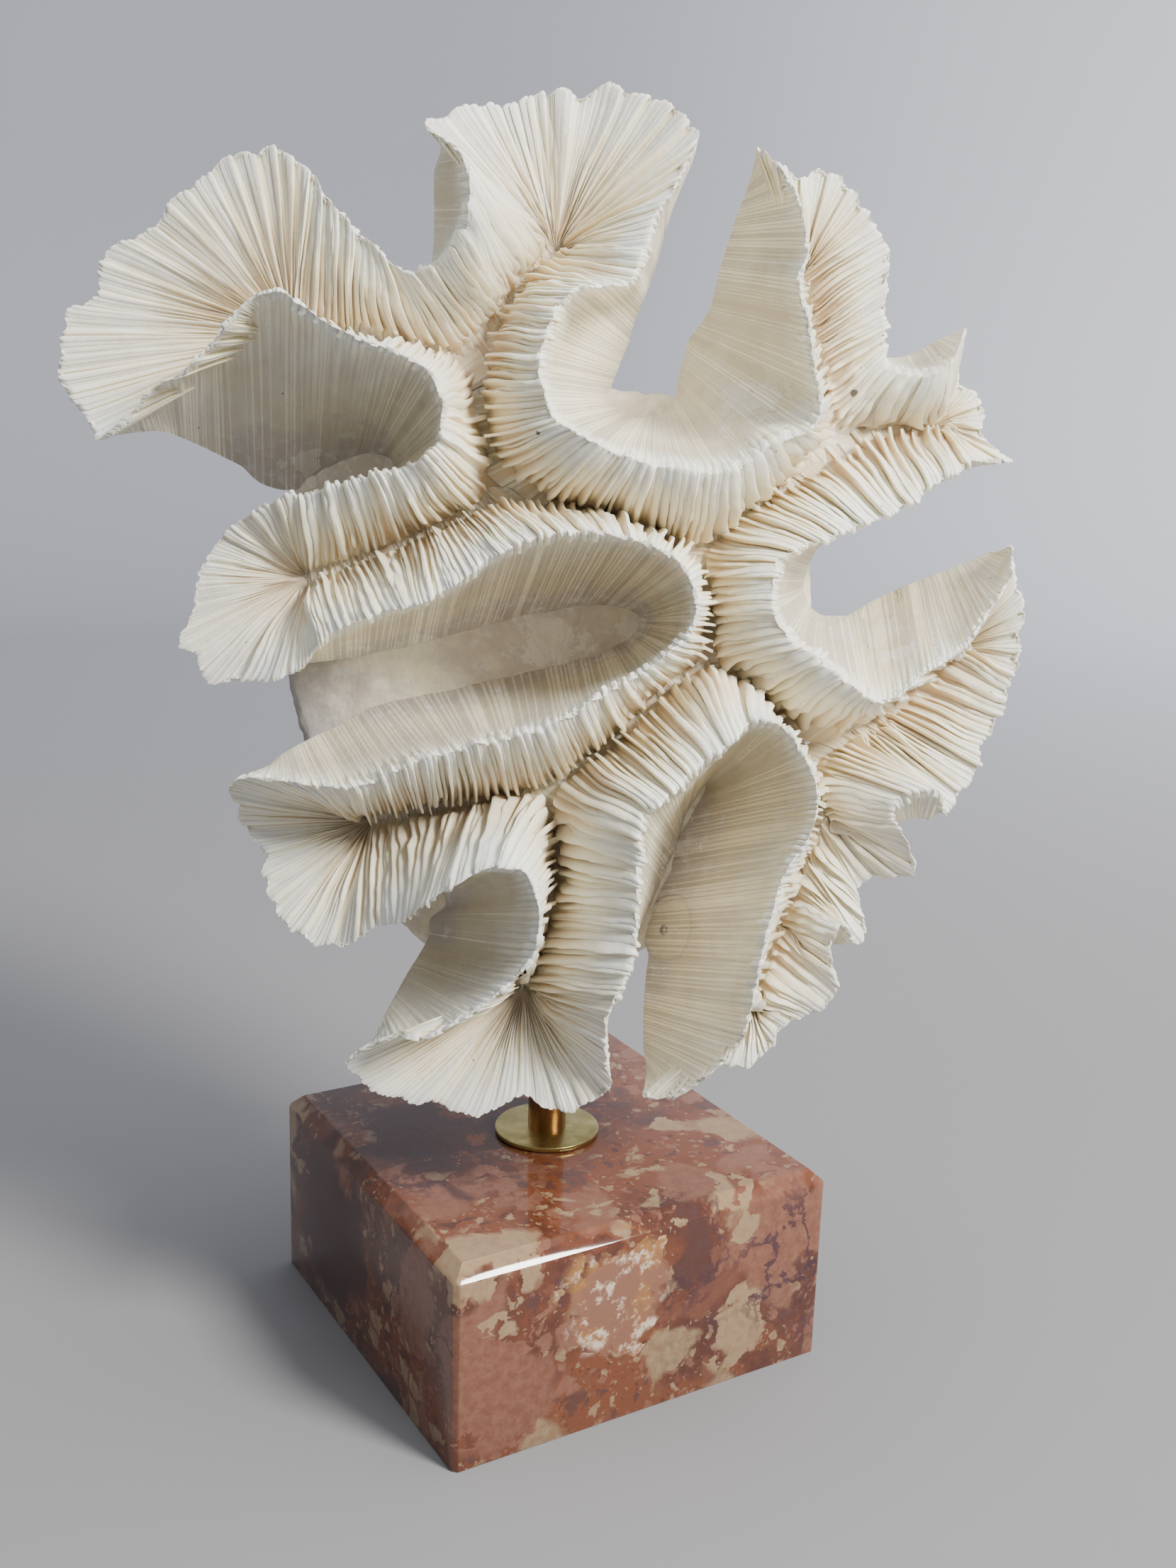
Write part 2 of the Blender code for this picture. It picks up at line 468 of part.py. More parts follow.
def runs_solid(runs, shells, name):
    """A closed body from one or more runs of columns: strips, a groove floor, a back and a cap at each neck."""
    solid = ClosedMesh()
    for run in runs:
        solid.strip(run, shells)
        solid.column(run[0], shells)
    order = [index for run in runs for index in run]
    solid.fill([solid.columns[index][0] for index in order])
    solid.fill([solid.columns[index][-1] for index in order])
    for k, run in enumerate(runs):
        ends = solid.columns[run[-1]], solid.columns[runs[(k + 1) % len(runs)][0]]
        solid.fill(neck_ring(*ends))
    return solid.finish(name)


def neck_ring(first, second):
    return list(first) + list(reversed(second))


def middle(points):
    return sum(points, Vector()) / len(points)


def run_between(start, end, count):
    run = [start]
    while run[-1] != end:
        run.append((run[-1] + 1) % count)
    return run


def build_coral(parts, bore):
    axes = face_axes()
    shells = shell_columns(axes)
    count = len(shells)
    spans = lobe_spans(shells)
    for lobe in LOBES:
        start, end = spans[lobe]
        mesh = runs_solid([run_between(start, end, count)], shells, f"coral_{lobe}")
        obj = add_object(parts, f"coral_{lobe}", mesh, CORAL)
        ring = neck_ring(shells[start][1], shells[end][1])
        across = normal(ring)
        outward = middle([vertex.co for vertex in mesh.vertices]) - middle(ring)
        away = 1 if across.dot(outward) > 0 else -1
        # A hair's gap from the centre, so that neighbouring pieces stay apart
        obj.location = across * (away * LOBE_GAP * MM)
    centre_runs = []
    for k, lobe in enumerate(LOBES):
        following = LOBES[(k + 1) % len(LOBES)]
        centre_runs.append(run_between(spans[lobe][1], spans[following][0], count))
    add_object(parts, "coral_centre", runs_solid(centre_runs, shells, "coral_centre"), CORAL)

    stalk = add_object(parts, "coral_stalk", stalk_mesh(axes), CORAL)
    cut(stalk, bore)


def stalk_mesh(axes):
    bm = bmesh.new()
    rings = []
    cu, cv = STALK_CENTRE
    for depth, size in STALK_SECTIONS:
        ring = []
        for u, v in STALK_OUTLINE:
            point = (cu + (u - cu) * size, cv + (v - cv) * size, STALK_FRONT - depth)
            ring.append(bm.verts.new(to_world(point, axes)))
        rings.append(ring)
    for a, b in zip(rings, rings[1:]):
        for i in range(len(a)):
            j = (i + 1) % len(a)
            bm.faces.new((a[i], a[j], b[j], b[i]))
    bm.faces.new(rings[0])
    bm.faces.new(rings[-1])
    bmesh.ops.triangulate(bm, faces=bm.faces)
    bmesh.ops.recalc_face_normals(bm, faces=bm.faces)
    return mesh_from(bm, "coral_stalk")


def main():
    clear_scene()
    parts = bpy.data.collections.new("brain_coral_on_stand")
    cutters = bpy.data.collections.new("cutters")
    for collection in (parts, cutters):
        bpy.context.scene.collection.children.link(collection)
    bore = build_stand(parts, cutters)
    build_coral(parts, bore)


main()
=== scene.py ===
# Brain coral on a stand: the looks of the coral, its rod and disc and the block of marble.
# Metres, +Z up. The coral's points are in the same face frame as in its solids.
from math import cos, pi, radians, sin

import bmesh
import bpy
import numpy as np
from bpy.props import FloatProperty, FloatVectorProperty, PointerProperty
from mathutils import Matrix, Vector, noise


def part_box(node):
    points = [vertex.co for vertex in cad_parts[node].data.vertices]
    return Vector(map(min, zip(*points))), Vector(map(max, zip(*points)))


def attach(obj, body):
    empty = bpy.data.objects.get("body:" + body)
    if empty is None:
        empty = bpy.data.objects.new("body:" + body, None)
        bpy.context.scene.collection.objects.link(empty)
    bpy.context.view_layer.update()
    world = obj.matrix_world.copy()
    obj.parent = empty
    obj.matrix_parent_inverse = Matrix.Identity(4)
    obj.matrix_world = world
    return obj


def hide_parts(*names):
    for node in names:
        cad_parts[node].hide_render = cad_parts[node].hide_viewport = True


bl_info = {
    "name": "Brain coral on a stand",
    "version": (1, 0, 0),
    "blender": (4, 5, 0),
    "location": "View3D > Sidebar > Brain coral",
    "description": "Models a folded brain coral on a brass rod and a block of marble",
    "category": "Add Mesh",
}

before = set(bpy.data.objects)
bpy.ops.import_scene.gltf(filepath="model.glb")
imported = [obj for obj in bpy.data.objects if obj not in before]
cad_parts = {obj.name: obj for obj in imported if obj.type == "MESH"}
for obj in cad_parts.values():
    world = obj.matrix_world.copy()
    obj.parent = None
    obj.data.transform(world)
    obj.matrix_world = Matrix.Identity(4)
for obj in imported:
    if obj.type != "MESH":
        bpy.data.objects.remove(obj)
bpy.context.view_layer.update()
BLOCK_LOW, BLOCK_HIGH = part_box("marble_base")
DISC_LOW, DISC_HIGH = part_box("brass_disc")
ROD_LOW, ROD_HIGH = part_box("brass_rod")

MM = 0.001

# Face frame of the coral: u to the right, v up and w forward, in millimetres, as seen from EYE
EYE = np.array((-187.3, -326.6, 233.7))
VIEW_TURN = radians(31.0)
VIEW_DROP = radians(14.1)
VIEW_ROLL = radians(1.8)
SIGHT = 376.0
FORWARD = 10.0

# Picture the camera stands in for, in pixels
PICTURE_HEIGHT = 2212
FOCAL_PIXELS = 2297.4
SENSOR = 36.0

# Stage, in metres: radius of the sweep from floor to backdrop, and the point that the lamps face
SWEEP = 0.45
LIT_POINT = Vector((0, 0, 0.17))
SKY_COLOUR, SKY_STRENGTH = (0.86, 0.91, 1.0, 1.0), 0.62

# Smooth wall of the coral, in mm: it rises from its groove to the rim, and falls outside to its foot
TABLE_STEP = 0.25
GROOVE_HALF_WIDTH = 1.0
MIDDLE_OVERLAP, MIDDLE_SINK = 4.5, 0.5
FAN_END = 1.3
FOOT_SPREAD = 4.5
RIM_THICKNESS = 2.2
KEEL_INSET = 0.6
SHOULDER_OUT, SHOULDER_RISE = 0.38, 0.75
FLANK_OUT, FLANK_FALL = 0.3, 0.55
SPINE_DEPTH, SPINE_SLOPE = -12.0, 0.45

# Rows of the wall's mesh, as shares of each stretch
INNER_STEPS = (
    0, 0.03, 0.06, 0.1, 0.14, 0.19, 0.25, 0.31, 0.37, 0.43, 0.49, 0.55, 0.61, 0.67, 0.73, 0.79, 0.84, 0.89,
    0.93, 0.97,
)
CREST_STEPS = (0.3, 0.65)
OUTER_STEPS = (0, 0.04, 0.09, 0.15, 0.22, 0.31, 0.42, 0.54, 0.67, 0.8, 0.9, 1)
UNDER_STEPS = (0.35, 0.7, 1)
CREST_ROW = 1 + len(INNER_STEPS)
OUTER_ROW = CREST_ROW + len(CREST_STEPS)
UNDER_ROW = OUTER_ROW + len(OUTER_STEPS)
ROWS = UNDER_ROW + len(UNDER_STEPS)
LOW_ROW = 4

# Place of each row on the whole wall, with the groove at 0, the rim at 1 and the middle line under it at 2,
# and on the inner slope alone
WALL_PLACES = np.interp(np.arange(ROWS), (0, CREST_ROW, ROWS - 1), (0, 1, 2))
SLOPE_PLACES = np.concatenate([[0], INNER_STEPS, np.ones(ROWS - CREST_ROW)])

# How each thing changes up the wall: places, and its share at each
SEPTUM_HEIGHTS = ((0, 0.04, 0.1, 0.18, 0.3, 0.55, 0.8, 1), (0.3, 0.6, 1.05, 0.92, 0.76, 0.58, 0.36, 0.15))
SEPTUM_WIDTHS = ((0, 0.3, 1), (0.6, 0.7, 1.0))
SOFT_FEET = ((0.25, 0.8), (0, 0.34))
WAVES = ((0, 0.3, 0.9, 1.1, 1.6, 2), (0, 1.2, 0.5, 0.3, 0.5, 0.2))
LAPS = ((0, 0.15, 0.5, 1, 1.2), (0.2, 0.8, 1, 0.6, 0))
NOTCHES = ((0, 0.55, 1, 1.15, 1.4), (0, 0.1, 1, 0.5, 0))
LEANING = ((0, 1, 1.2), (0.7, 0.5, 0))

# Septa and the plates that they lap into, in mm
SEPTUM_SIDE = 0.08
SEPTUM_SINK = 0.3
SEPTUM_CREASE = radians(58)
SWAY, HOOK = 0.7, 0.45
LAP_LENGTH, LAP_STEP, LAP_DIP = 6.2, 2.0, 1.7
DEEPEST_FOLD = 0.6

# Shares: how far septa lean, how gentle their far side is, how low they stand in fans and for their gap
MEAN_LEAN = 0.35
GENTLE_SIDE = 0.55
FAN_CALM = 0.5
GAP_SHARE = 0.75

# Groove floors, as (u, v, w)
GROOVES = {
    "ul_end": (-68, 103.5, -2), "ul_mid": (-53, 104.5, 0), "ul_in": (-39.5, 101.5, 4),
    "n0": (-28.5, 99, 7), "top_in": (-20.5, 108, 4), "top_mid": (-14.5, 116.5, 1), "top_end": (-7.5, 123, -2),
    "m01a": (-25, 88, 8), "m01b": (-23, 76.5, 9), "n1": (-21, 66, 9),
    "lm_a": (-28.5, 62.5, 8), "lm_b": (-39.5, 57, 6), "lm_c": (-52.5, 52, 3), "lm_end": (-65, 47.5, 0),
    "m12a": (-9, 65, 10), "m12b": (4, 64, 11), "m12c": (16.5, 58, 11), "n2": (25.5, 53.5, 11),
    "m23a": (34.5, 62.5, 10), "m23b": (45, 68.5, 8), "n3": (56, 81, 4),
    "ur_mid": (53.5, 97.5, -2), "ur_end": (49, 117, -7), "r_mid": (68, 82, 2), "r_end": (80, 83, 0),
    "m24": (28, 41, 11), "n4": (28, 29.5, 11),
    "m45a": (18, 22, 11), "m45b": (8, 11.5, 11), "m45c": (-1, 5, 11), "n5": (-9.5, -1, 10),
    "ll_a": (-21.5, -3.5, 8), "ll_b": (-34.5, -5.5, 4), "ll_end": (-50, -8.5, -2),
    "b_a": (-7, -14, 8), "b_b": (-9, -27.5, 6), "b_end": (-15, -46.5, 1),
    "m46a": (37, 22.5, 9), "m46b": (46, 13.5, 7), "n6": (51.5, 5.5, 4),
    "rl_a": (61.5, 11.5, 2), "rl_b": (70.5, 17.5, -2), "rl_end": (84.5, 31.5, -6),
    "n7": (54, -6.5, 2), "br_a": (50, -17, 0), "br_b": (44, -32, -3), "br_end": (37.5, -50, -4),
}

# The rim, clockwise from the notch between the upper left and the top lobe.
# Each run: the lobe it belongs to, the groove it falls to, the foot of its outer wall, its rim points.
# The groove and the foot slide on to the next run's along the run.
RIM = [
    ("top", "n0", (-38, 110, -13), [(-42, 119, 10), (-36, 120.5, 13)]),
    ("top", "top_in", (-35.5, 124, -9), [(-31, 125, 17), (-27.5, 133, 20)]),
    ("top", "top_mid", (-36, 142, -4), [(-28, 142, 20), (-30, 146.5, 18), (-36.5, 151.5, 15)]),
    ("top", "top_end", (-32, 149, -3), [(-38, 153.5, 11), (-29.5, 156.5, 6), (-21, 158, 3)]),
    ("top", "top_end", (-14, 147, -8), [(-12, 160, 1), (-7, 161.5, 2), (-1.5, 161, 1), (5, 163.5, 1)]),
    ("top", "top_end", (8, 148, -8), [(12, 160, 3), (19.5, 158, 5), (23, 153.5, 8)]),
    ("top", "top_end", (21, 138, -6), [(26, 150, 11), (23, 142.5, 15), (16.5, 132, 19)]),
    ("top", "top_end", (15, 117, -10), [(14, 124, 21), (10.5, 116, 23)]),
    ("top", "top_mid", (11, 107, -13), [(3, 115, 25), (-3, 114, 26)]),
    ("centre", "top_in", (7, 100, -15), [(-7.5, 108, 27), (-11, 98.5, 28)]),
    ("centre", "m01a", (3, 89, -15), [(-10, 90, 29)]),
    ("centre", "m01b", (6, 86, -15), [(-5, 82.5, 30)]),
    ("centre", "m12a", (11, 84, -15), [(5, 78, 30)]),
    ("centre", "m12c", (17, 84.5, -15), [(18, 74, 29)]),
    ("centre", "n2", (21, 87, -15), [(29.5, 72.5, 28)]),
    ("centre", "m23a", (22, 91, -15), [(36, 74, 27)]),
    ("centre", "m23b", (23, 95, -15), [(42, 78.5, 26)]),
    ("centre", "n3", (25, 100, -15), [(51.5, 82, 24), (54, 88, 24)]),
    ("upper_right", "ur_mid", (27, 105, -14), [(52.5, 96, 24), (51, 107.5, 25)]),
    ("upper_right", "ur_end", (30, 118, -11), [(49, 115.5, 25), (51, 124, 23)]),
    ("upper_right", "ur_end", (34, 131, -7), [(49, 134.5, 20), (46, 141, 17)]),
    ("upper_right", "ur_end", (38, 141, -1), [(39, 147.5, 11), (45, 144, 5)]),
    ("upper_right", "ur_end", (47, 134, -9), [(50, 141.5, 1), (53.5, 143, -1), (61.5, 136, -2)]),
    ("upper_right", "ur_end", (59, 122, -12), [(67, 128.5, -1), (71, 124.5, 0), (69, 115.5, 1)]),
    ("upper_right", "ur_mid", (64, 107, -12), [(69, 105.5, 3)]),
    ("right", "n3", (67, 98, -11), [(69.5, 97, 6)]),
    ("right", "r_mid", (75, 99, -8), [(77, 94.5, 12)]),
    ("right", "r_end", (79, 102, -3), [(83.5, 97, 13)]),
    ("right", "r_end", (85, 104.5, 2), [(88, 106.5, 10), (86, 99, 3)]),
    ("right", "r_end", (82, 93, -6), [(86.5, 92, 1), (91.5, 88, 0), (91, 83, 1), (93.5, 78, 3)]),
    ("right", "r_end", (92, 75, -1), [(98, 75, 6), (90, 74, 10)]),
    ("right", "r_end", (82, 71, -6), [(84.5, 71, 13)]),
    ("right", "r_mid", (73, 67, -10), [(77, 66.5, 15), (69.5, 62, 17)]),
    ("centre", "m23b", (60, 60, -14), [(61.5, 58.5, 19)]),
    ("centre", "m23a", (53, 55, -15), [(52.5, 55.5, 21)]),
    ("centre", "n2", (50, 50, -15), [(45.5, 52, 23), (43.5, 47.5, 25)]),
    ("centre", "m24", (49, 44, -15), [(43.5, 40.5, 26)]),
    ("centre", "n4", (51, 40, -15), [(48, 33, 26)]),
    ("centre", "m46a", (54, 38, -15), [(55, 28, 26)]),
    ("centre", "m46b", (58, 37.5, -14), [(61.5, 23, 26)]),
    ("lower_right", "rl_a", (63, 41.5, -11), [(67, 19, 25), (72, 20.5, 23)]),
    ("lower_right", "rl_end", (75, 47, -7), [(78.5, 26, 20), (87, 31.5, 18)]),
    ("lower_right", "rl_end", (87, 51.5, -3), [(93.5, 41, 15), (98.5, 49.5, 12)]),
    ("lower_right", "rl_end", (94, 54.5, 1), [(98, 55, 9), (100, 47.5, 4)]),
    ("lower_right", "rl_end", (93, 40, -8), [(101.5, 41, 1), (100.5, 33, 0)]),
    ("lower_right", "rl_end", (89, 24, -11), [(98, 23, 0), (97, 17, 0)]),
    ("lower_right", "rl_b", (82, 11, -11), [(92, 9, 0), (90.5, 2, 0), (87, -3, 1)]),
    ("lower_right", "rl_a", (80, -4, -4), [(83, -7.5, 2)]),
    ("lower_right", "rl_a", (80, -9, 2), [(82.5, -3, 8), (80, -1, 12)]),
    ("lower_right", "n6", (75, -8, 2), [(74.5, -2.5, 13), (71, -5, 12)]),
    ("lower_right", "n7", (68, -10, -4), [(71, -9, 9), (74.5, -14, 6)]),
    ("lower_right", "n7", (69, -18, -4), [(76.5, -18.5, 4), (74.5, -22, 2), (67, -21.5, 0)]),
    ("bottom_right", "n7", (58, -21, -9), [(62.5, -24, -1)]),
    ("bottom_right", "br_a", (58, -29, -7), [(64, -29.5, 1), (65, -33.5, 1)]),
    ("bottom_right", "br_a", (60, -37.5, -2), [(63, -37.5, 2), (59, -32, 6)]),
    ("bottom_right", "br_b", (54, -37, -7), [(57, -35, 6), (57.5, -42.5, 4)]),
    ("bottom_right", "br_b", (51, -45, -8), [(58.5, -48, 2), (55, -52, 1)]),
    ("bottom_right", "br_end", (42, -50, -9), [(48.5, -54.5, 0), (44, -57.5, 0)]),
    ("bottom_right", "br_end", (33, -56, -8), [(41, -63, 0), (35, -65, 1)]),
    ("bottom_right", "br_end", (22, -61, -6), [(26, -64.5, 2), (18, -68, 5)]),
    ("bottom_right", "br_end", (13.5, -66, -1), [(12.5, -72, 10), (19, -73, 16)]),
    ("bottom_right", "br_end", (12.5, -61, -4), [(25.5, -69.5, 20), (31, -64.5, 22)]),
    ("bottom_right", "br_end", (12.5, -53, -7), [(35.5, -60, 24), (37.5, -53, 26)]),
    ("bottom_right", "br_end", (13, -44, -11), [(39, -45.5, 27)]),
    ("bottom_right", "br_b", (14, -37, -14), [(40.5, -38.5, 28), (43, -28.5, 29)]),
    ("bottom_right", "br_a", (18, -24, -15), [(46, -20, 29), (51, -12.5, 29)]),
    ("centre", "n7", (23, -11, -15), [(53, -5.5, 29)]),
    ("centre", "n6", (26, -5, -15), [(52.5, 1, 29), (49.5, 7, 29)]),
    ("centre", "m46b", (28, -1, -15), [(46, 12.5, 29)]),
    ("centre", "m46a", (28, 1, -15), [(41, 14.5, 29)]),
    ("centre", "n4", (27, 0, -15), [(35, 11.5, 29)]),
    ("centre", "m45a", (25, -3, -15), [(29.5, 6.5, 30)]),
    ("centre", "m45b", (22, -8, -15), [(22, 0, 31)]),
    ("centre", "m45c", (20, -14, -15), [(14, -6, 32)]),
    ("centre", "n5", (18, -19, -15), [(12, -11.5, 32)]),
    ("centre", "b_a", (15, -26, -15), [(12, -20.5, 31)]),
    ("bottom", "b_b", (12, -33, -14), [(11.5, -30, 30), (10.5, -40, 28)]),
    ("bottom", "b_end", (7, -46, -11), [(7.5, -49, 26), (4.5, -54.5, 22)]),
    ("bottom", "b_end", (2, -56, -7), [(5, -63, 17), (6, -69.5, 13), (3.5, -73, 10)]),
    ("bottom", "b_end", (-6, -62, -5), [(-4, -76.5, 8), (-10.5, -75, 7), (-15.5, -72, 7), (-21.5, -74.5, 7)]),
    ("bottom", "b_end", (-27, -63, -4), [(-28, -77, 7), (-37.5, -74.5, 7), (-47.5, -72.5, 8)]),
    ("bottom", "b_end", (-46, -62, 0), [(-53, -68.5, 9), (-56.5, -64.5, 12)]),
    ("bottom", "b_end", (-49, -57, 3), [(-51, -61, 17), (-44, -58.5, 21)]),
    ("bottom", "b_end", (-45, -49, -3), [(-37, -58.5, 24), (-29.5, -54.5, 26)]),
    ("bottom", "b_end", (-41, -42, -8), [(-21.5, -49, 27), (-16, -44, 28)]),
    ("bottom", "b_end", (-37, -35, -13), [(-12, -38.5, 29)]),
    ("centre", "b_b", (-34, -30, -15), [(-11, -31, 30), (-12, -25, 30)]),
    ("centre", "b_a", (-32, -28, -15), [(-15, -20.5, 30)]),
    ("centre", "n5", (-32, -26, -15), [(-20.5, -19.5, 30)]),
    ("lower_left", "ll_a", (-35, -24, -15), [(-28, -22, 28), (-36, -26.5, 25)]),
    ("lower_left", "ll_b", (-42, -23, -14), [(-40.5, -30.5, 21), (-44, -32, 17)]),
    ("lower_left", "ll_end", (-52, -22, -11), [(-51, -35, 12), (-59, -38, 8), (-68, -36, 6)]),
    ("lower_left", "ll_end", (-63, -19, -10), [(-72.5, -29.5, 5), (-75.5, -23, 4), (-75, -15.5, 4)]),
    ("lower_left", "ll_end", (-70, -8, -8), [(-80, -9.5, 4), (-82, -5.5, 5)]),
    ("lower_left", "ll_end", (-77, 1, -1), [(-84, -0.5, 8), (-79.5, 1.5, 13)]),
    ("lower_left", "ll_end", (-71, 7, -5), [(-70.5, 0.5, 18), (-62, -0.5, 22)]),
    ("lower_left", "ll_end", (-62, 12, -12), [(-54, -0.5, 25), (-46, 2.5, 27)]),
    ("centre", "ll_b", (-46, 18, -15), [(-36, 6.5, 29)]),
    ("centre", "ll_a", (-30, 21.5, -15), [(-24.5, 9.5, 31)]),
    ("centre", "n5", (-17, 24.5, -15), [(-14.5, 12, 32)]),
    ("centre", "m45c", (-7, 27, -15), [(-5, 16, 33)]),
    ("centre", "m45b", (2, 29.5, -15), [(4, 21.5, 33)]),
    ("centre", "m45a", (8, 32, -15), [(12.5, 26, 33)]),
    ("centre", "n4", (12, 35, -15), [(19.5, 31, 33), (24, 36, 33)]),
    ("centre", "m24", (13, 39, -15), [(25, 42.5, 33)]),
    ("centre", "n2", (10, 41, -15), [(22.5, 49.5, 33)]),
    ("centre", "m12c", (5, 42, -15), [(17, 54, 33)]),
    ("centre", "m12b", (-1, 42, -15), [(9, 56.5, 32)]),
    ("centre", "m12a", (-9, 41, -15), [(-1, 58, 31)]),
    ("centre", "n1", (-17, 39.5, -15), [(-10.5, 57, 31)]),
    ("centre", "lm_a", (-25, 37, -15), [(-19.5, 53.5, 30), (-28.5, 47.5, 29)]),
    ("centre", "lm_b", (-39, 33, -15), [(-37, 43, 27)]),
    ("left", "lm_c", (-48, 31, -15), [(-46, 40.5, 25), (-55, 36.5, 22)]),
    ("left", "lm_end", (-62, 28, -13), [(-62, 32, 19), (-65.5, 27, 15)]),
    ("left", "lm_end", (-73, 27.5, -8), [(-73, 24, 12), (-80, 23, 9)]),
    ("left", "lm_end", (-83, 28, -1), [(-87, 23, 6), (-90, 28, 4), (-94.5, 33, 3)]),
    ("left", "lm_end", (-85, 37, -3), [(-93.5, 38, 3), (-90.5, 44.5, 3)]),
    ("left", "lm_end", (-81, 46, -6), [(-89.5, 50, 4), (-86, 56.5, 5)]),
    ("left", "lm_end", (-75, 55, -9), [(-82, 61.5, 7), (-74.5, 65, 10)]),
    ("left", "lm_end", (-66, 62, -12), [(-67, 67, 13)]),
    ("centre", "lm_c", (-58, 65, -14), [(-57.5, 69.5, 17)]),
    ("centre", "lm_b", (-51, 68, -15), [(-47.5, 72.5, 21)]),
    ("centre", "lm_a", (-46, 71, -15), [(-39.5, 74.5, 24)]),
    ("centre", "n1", (-44, 73, -15), [(-35, 78.5, 26)]),
    ("centre", "m01a", (-44, 75, -15), [(-33.5, 85.5, 27)]),
    ("centre", "n0", (-46, 77, -15), [(-35, 92, 28), (-38.5, 96.5, 28)]),
    ("upper_left", "ul_in", (-51, 77.5, -15), [(-45, 100, 28)]),
    ("upper_left", "ul_mid", (-57, 76, -15), [(-52.5, 103, 28), (-60, 106.5, 28)]),
    ("upper_left", "ul_end", (-67, 70, -15), [(-67, 111.5, 28), (-72, 114.5, 28)]),
    ("upper_left", "ul_end", (-77, 71.5, -14), [(-78.5, 112.5, 27), (-84, 106, 25)]),
    ("upper_left", "ul_end", (-88, 77, -9), [(-88, 101, 22), (-94, 95, 19)]),
    ("upper_left", "ul_end", (-98, 81.5, -4), [(-101, 91.5, 15), (-106, 85.5, 12)]),
    ("upper_left", "ul_end", (-110, 80.5, 2), [(-114, 79, 8), (-118.5, 85.5, 4)]),
    ("upper_left", "ul_end", (-113, 90, -4), [(-123, 91.5, 2), (-122.5, 101, 0), (-121.5, 109, -1)]),
    ("upper_left", "ul_end", (-106, 106, -9), [(-114.5, 113, -2), (-113, 120.5, -2), (-108.5, 125.5, -2)]),
    ("upper_left", "ul_end", (-96, 119, -10), [(-100.5, 130.5, -2), (-93.5, 138, -2), (-87, 143, -2)]),
    ("upper_left", "ul_end", (-80, 131, -10), [(-79.5, 146.5, -1), (-72, 147, 0)]),
    ("upper_left", "ul_end", (-68, 130, -10), [(-64, 143, 2), (-60, 136, 4)]),
    ("upper_left", "ul_mid", (-55, 119, -11), [(-53, 128.5, 6)]),
    ("upper_left", "ul_in", (-47, 114, -12), [(-47.5, 122.5, 8)]),
]

# Outline of the stalk's front, where the floors of the clefts show it
STALK_OUTLINE = [
    (-68, 66), (-69, 45), (-69.5, 25), (-66, 12), (-60, -4), (-50, -22), (-39, -36), (-20, -42), (0, -42),
    (11, -39), (28, -30), (44, -12), (50, 10), (51, 30), (51.5, 48), (47, 64), (34, 80), (18, 90), (4, 91),
    (-20, 98), (-42, 96), (-58, 84),
]
STALK_CENTRE = np.array((-8.0, 24.0))
# Depth behind the cleft floors and size of each section of the stalk
STALK_SECTIONS = [(0.0, 1.0), (7.0, 0.96), (16.0, 0.82), (27.0, 0.62), (35.0, 0.42), (39.0, 0.2)]
STALK_FRONT = -15.6
STALK_RAISE = 1.4
STALK_DARK_END = (-68.0, 17.0, -17.0)
STALK_STEPS = 240
# Size and height of the lumps and the grain on the stalk, in mm
STALK_LUMPS, LUMP_HEIGHT = 9.0, 0.9
STALK_GRAIN, GRAIN_HEIGHT = 2.2, 0.25

# Larger broken pieces in the marble: kind, middle and reach each way, in mm
MARBLE_PIECES = [
    ("pink", (-40, -52, 16), (15, 12, 14)),
    ("pink", (-46, -52, 30), (6, 8, 7)),
    ("pink", (34, -52, 36), (14, 8, 15)),
    ("beige", (-41, -44, 47), (15, 8, 8)),
    ("beige", (-37, -51, 35), (6, 6, 2.5)),
    ("beige", (26, -52, 14), (10, 5, 8)),
    ("beige", (23, -46, 46), (6, 8, 8)),
    ("beige", (-12, -36, 50), (7, 4, 3)),
    ("beige", (26, -14, 50), (4, 5, 3)),
    ("beige", (40, -22, 50), (5, 7, 3)),
    ("pink", (-20, -20, 50), (9, 10, 3)),
    ("calcite", (-9, -52, 31), (15, 7, 15)),
    ("purple", (12, -51, 38), (5, 5, 10)),
    ("purple", (0, 5, 50), (26, 12, 5)),
    ("purple", (-30, 10, 50), (14, 22, 5)),
    ("pink", (-52, -28, 30), (6, 9, 14)),
    ("purple", (-52, 18, 24), (8, 22, 20)),
    ("beige", (-50, 48, 42), (8, 7, 12)),
    ("pink", (18, 30, 50), (12, 8, 3)),
    ("beige", (10, -30, 50), (6, 4, 3)),
]
# Smaller pieces, one pattern for each size: cells to the metre, share left out, shift of the pattern
MARBLE_SIZES = [(1100, 0.8, 5.0), (420, 0.7, 3.0), (170, 0.64, 7.0), (62, 0.6, 1.0)]
VEIN_PLACE = (42.0, -50.0, 28.0)

LOBES = [
    "centre", "top", "upper_right", "right", "lower_right", "bottom_right", "bottom", "lower_left", "left",
    "upper_left",
]

# How far the ribs run down the outer wall of each lobe, in mm
RIB_REACH = {
    "centre": 5, "top": 6, "upper_right": 6, "right": 6, "lower_right": 9, "bottom_right": 12, "bottom": 15,
    "lower_left": 8, "left": 6, "upper_left": 16,
}
# Worn grey stretches of the outer walls: middle (u, v) and radius
WORN_PLACES = [
    (-30, 30, 34), (5, 30, 26), (-72, 70, 20), (-58, 77, 16), (22, -18, 20), (20, -42, 13), (-34, -26, 14),
]

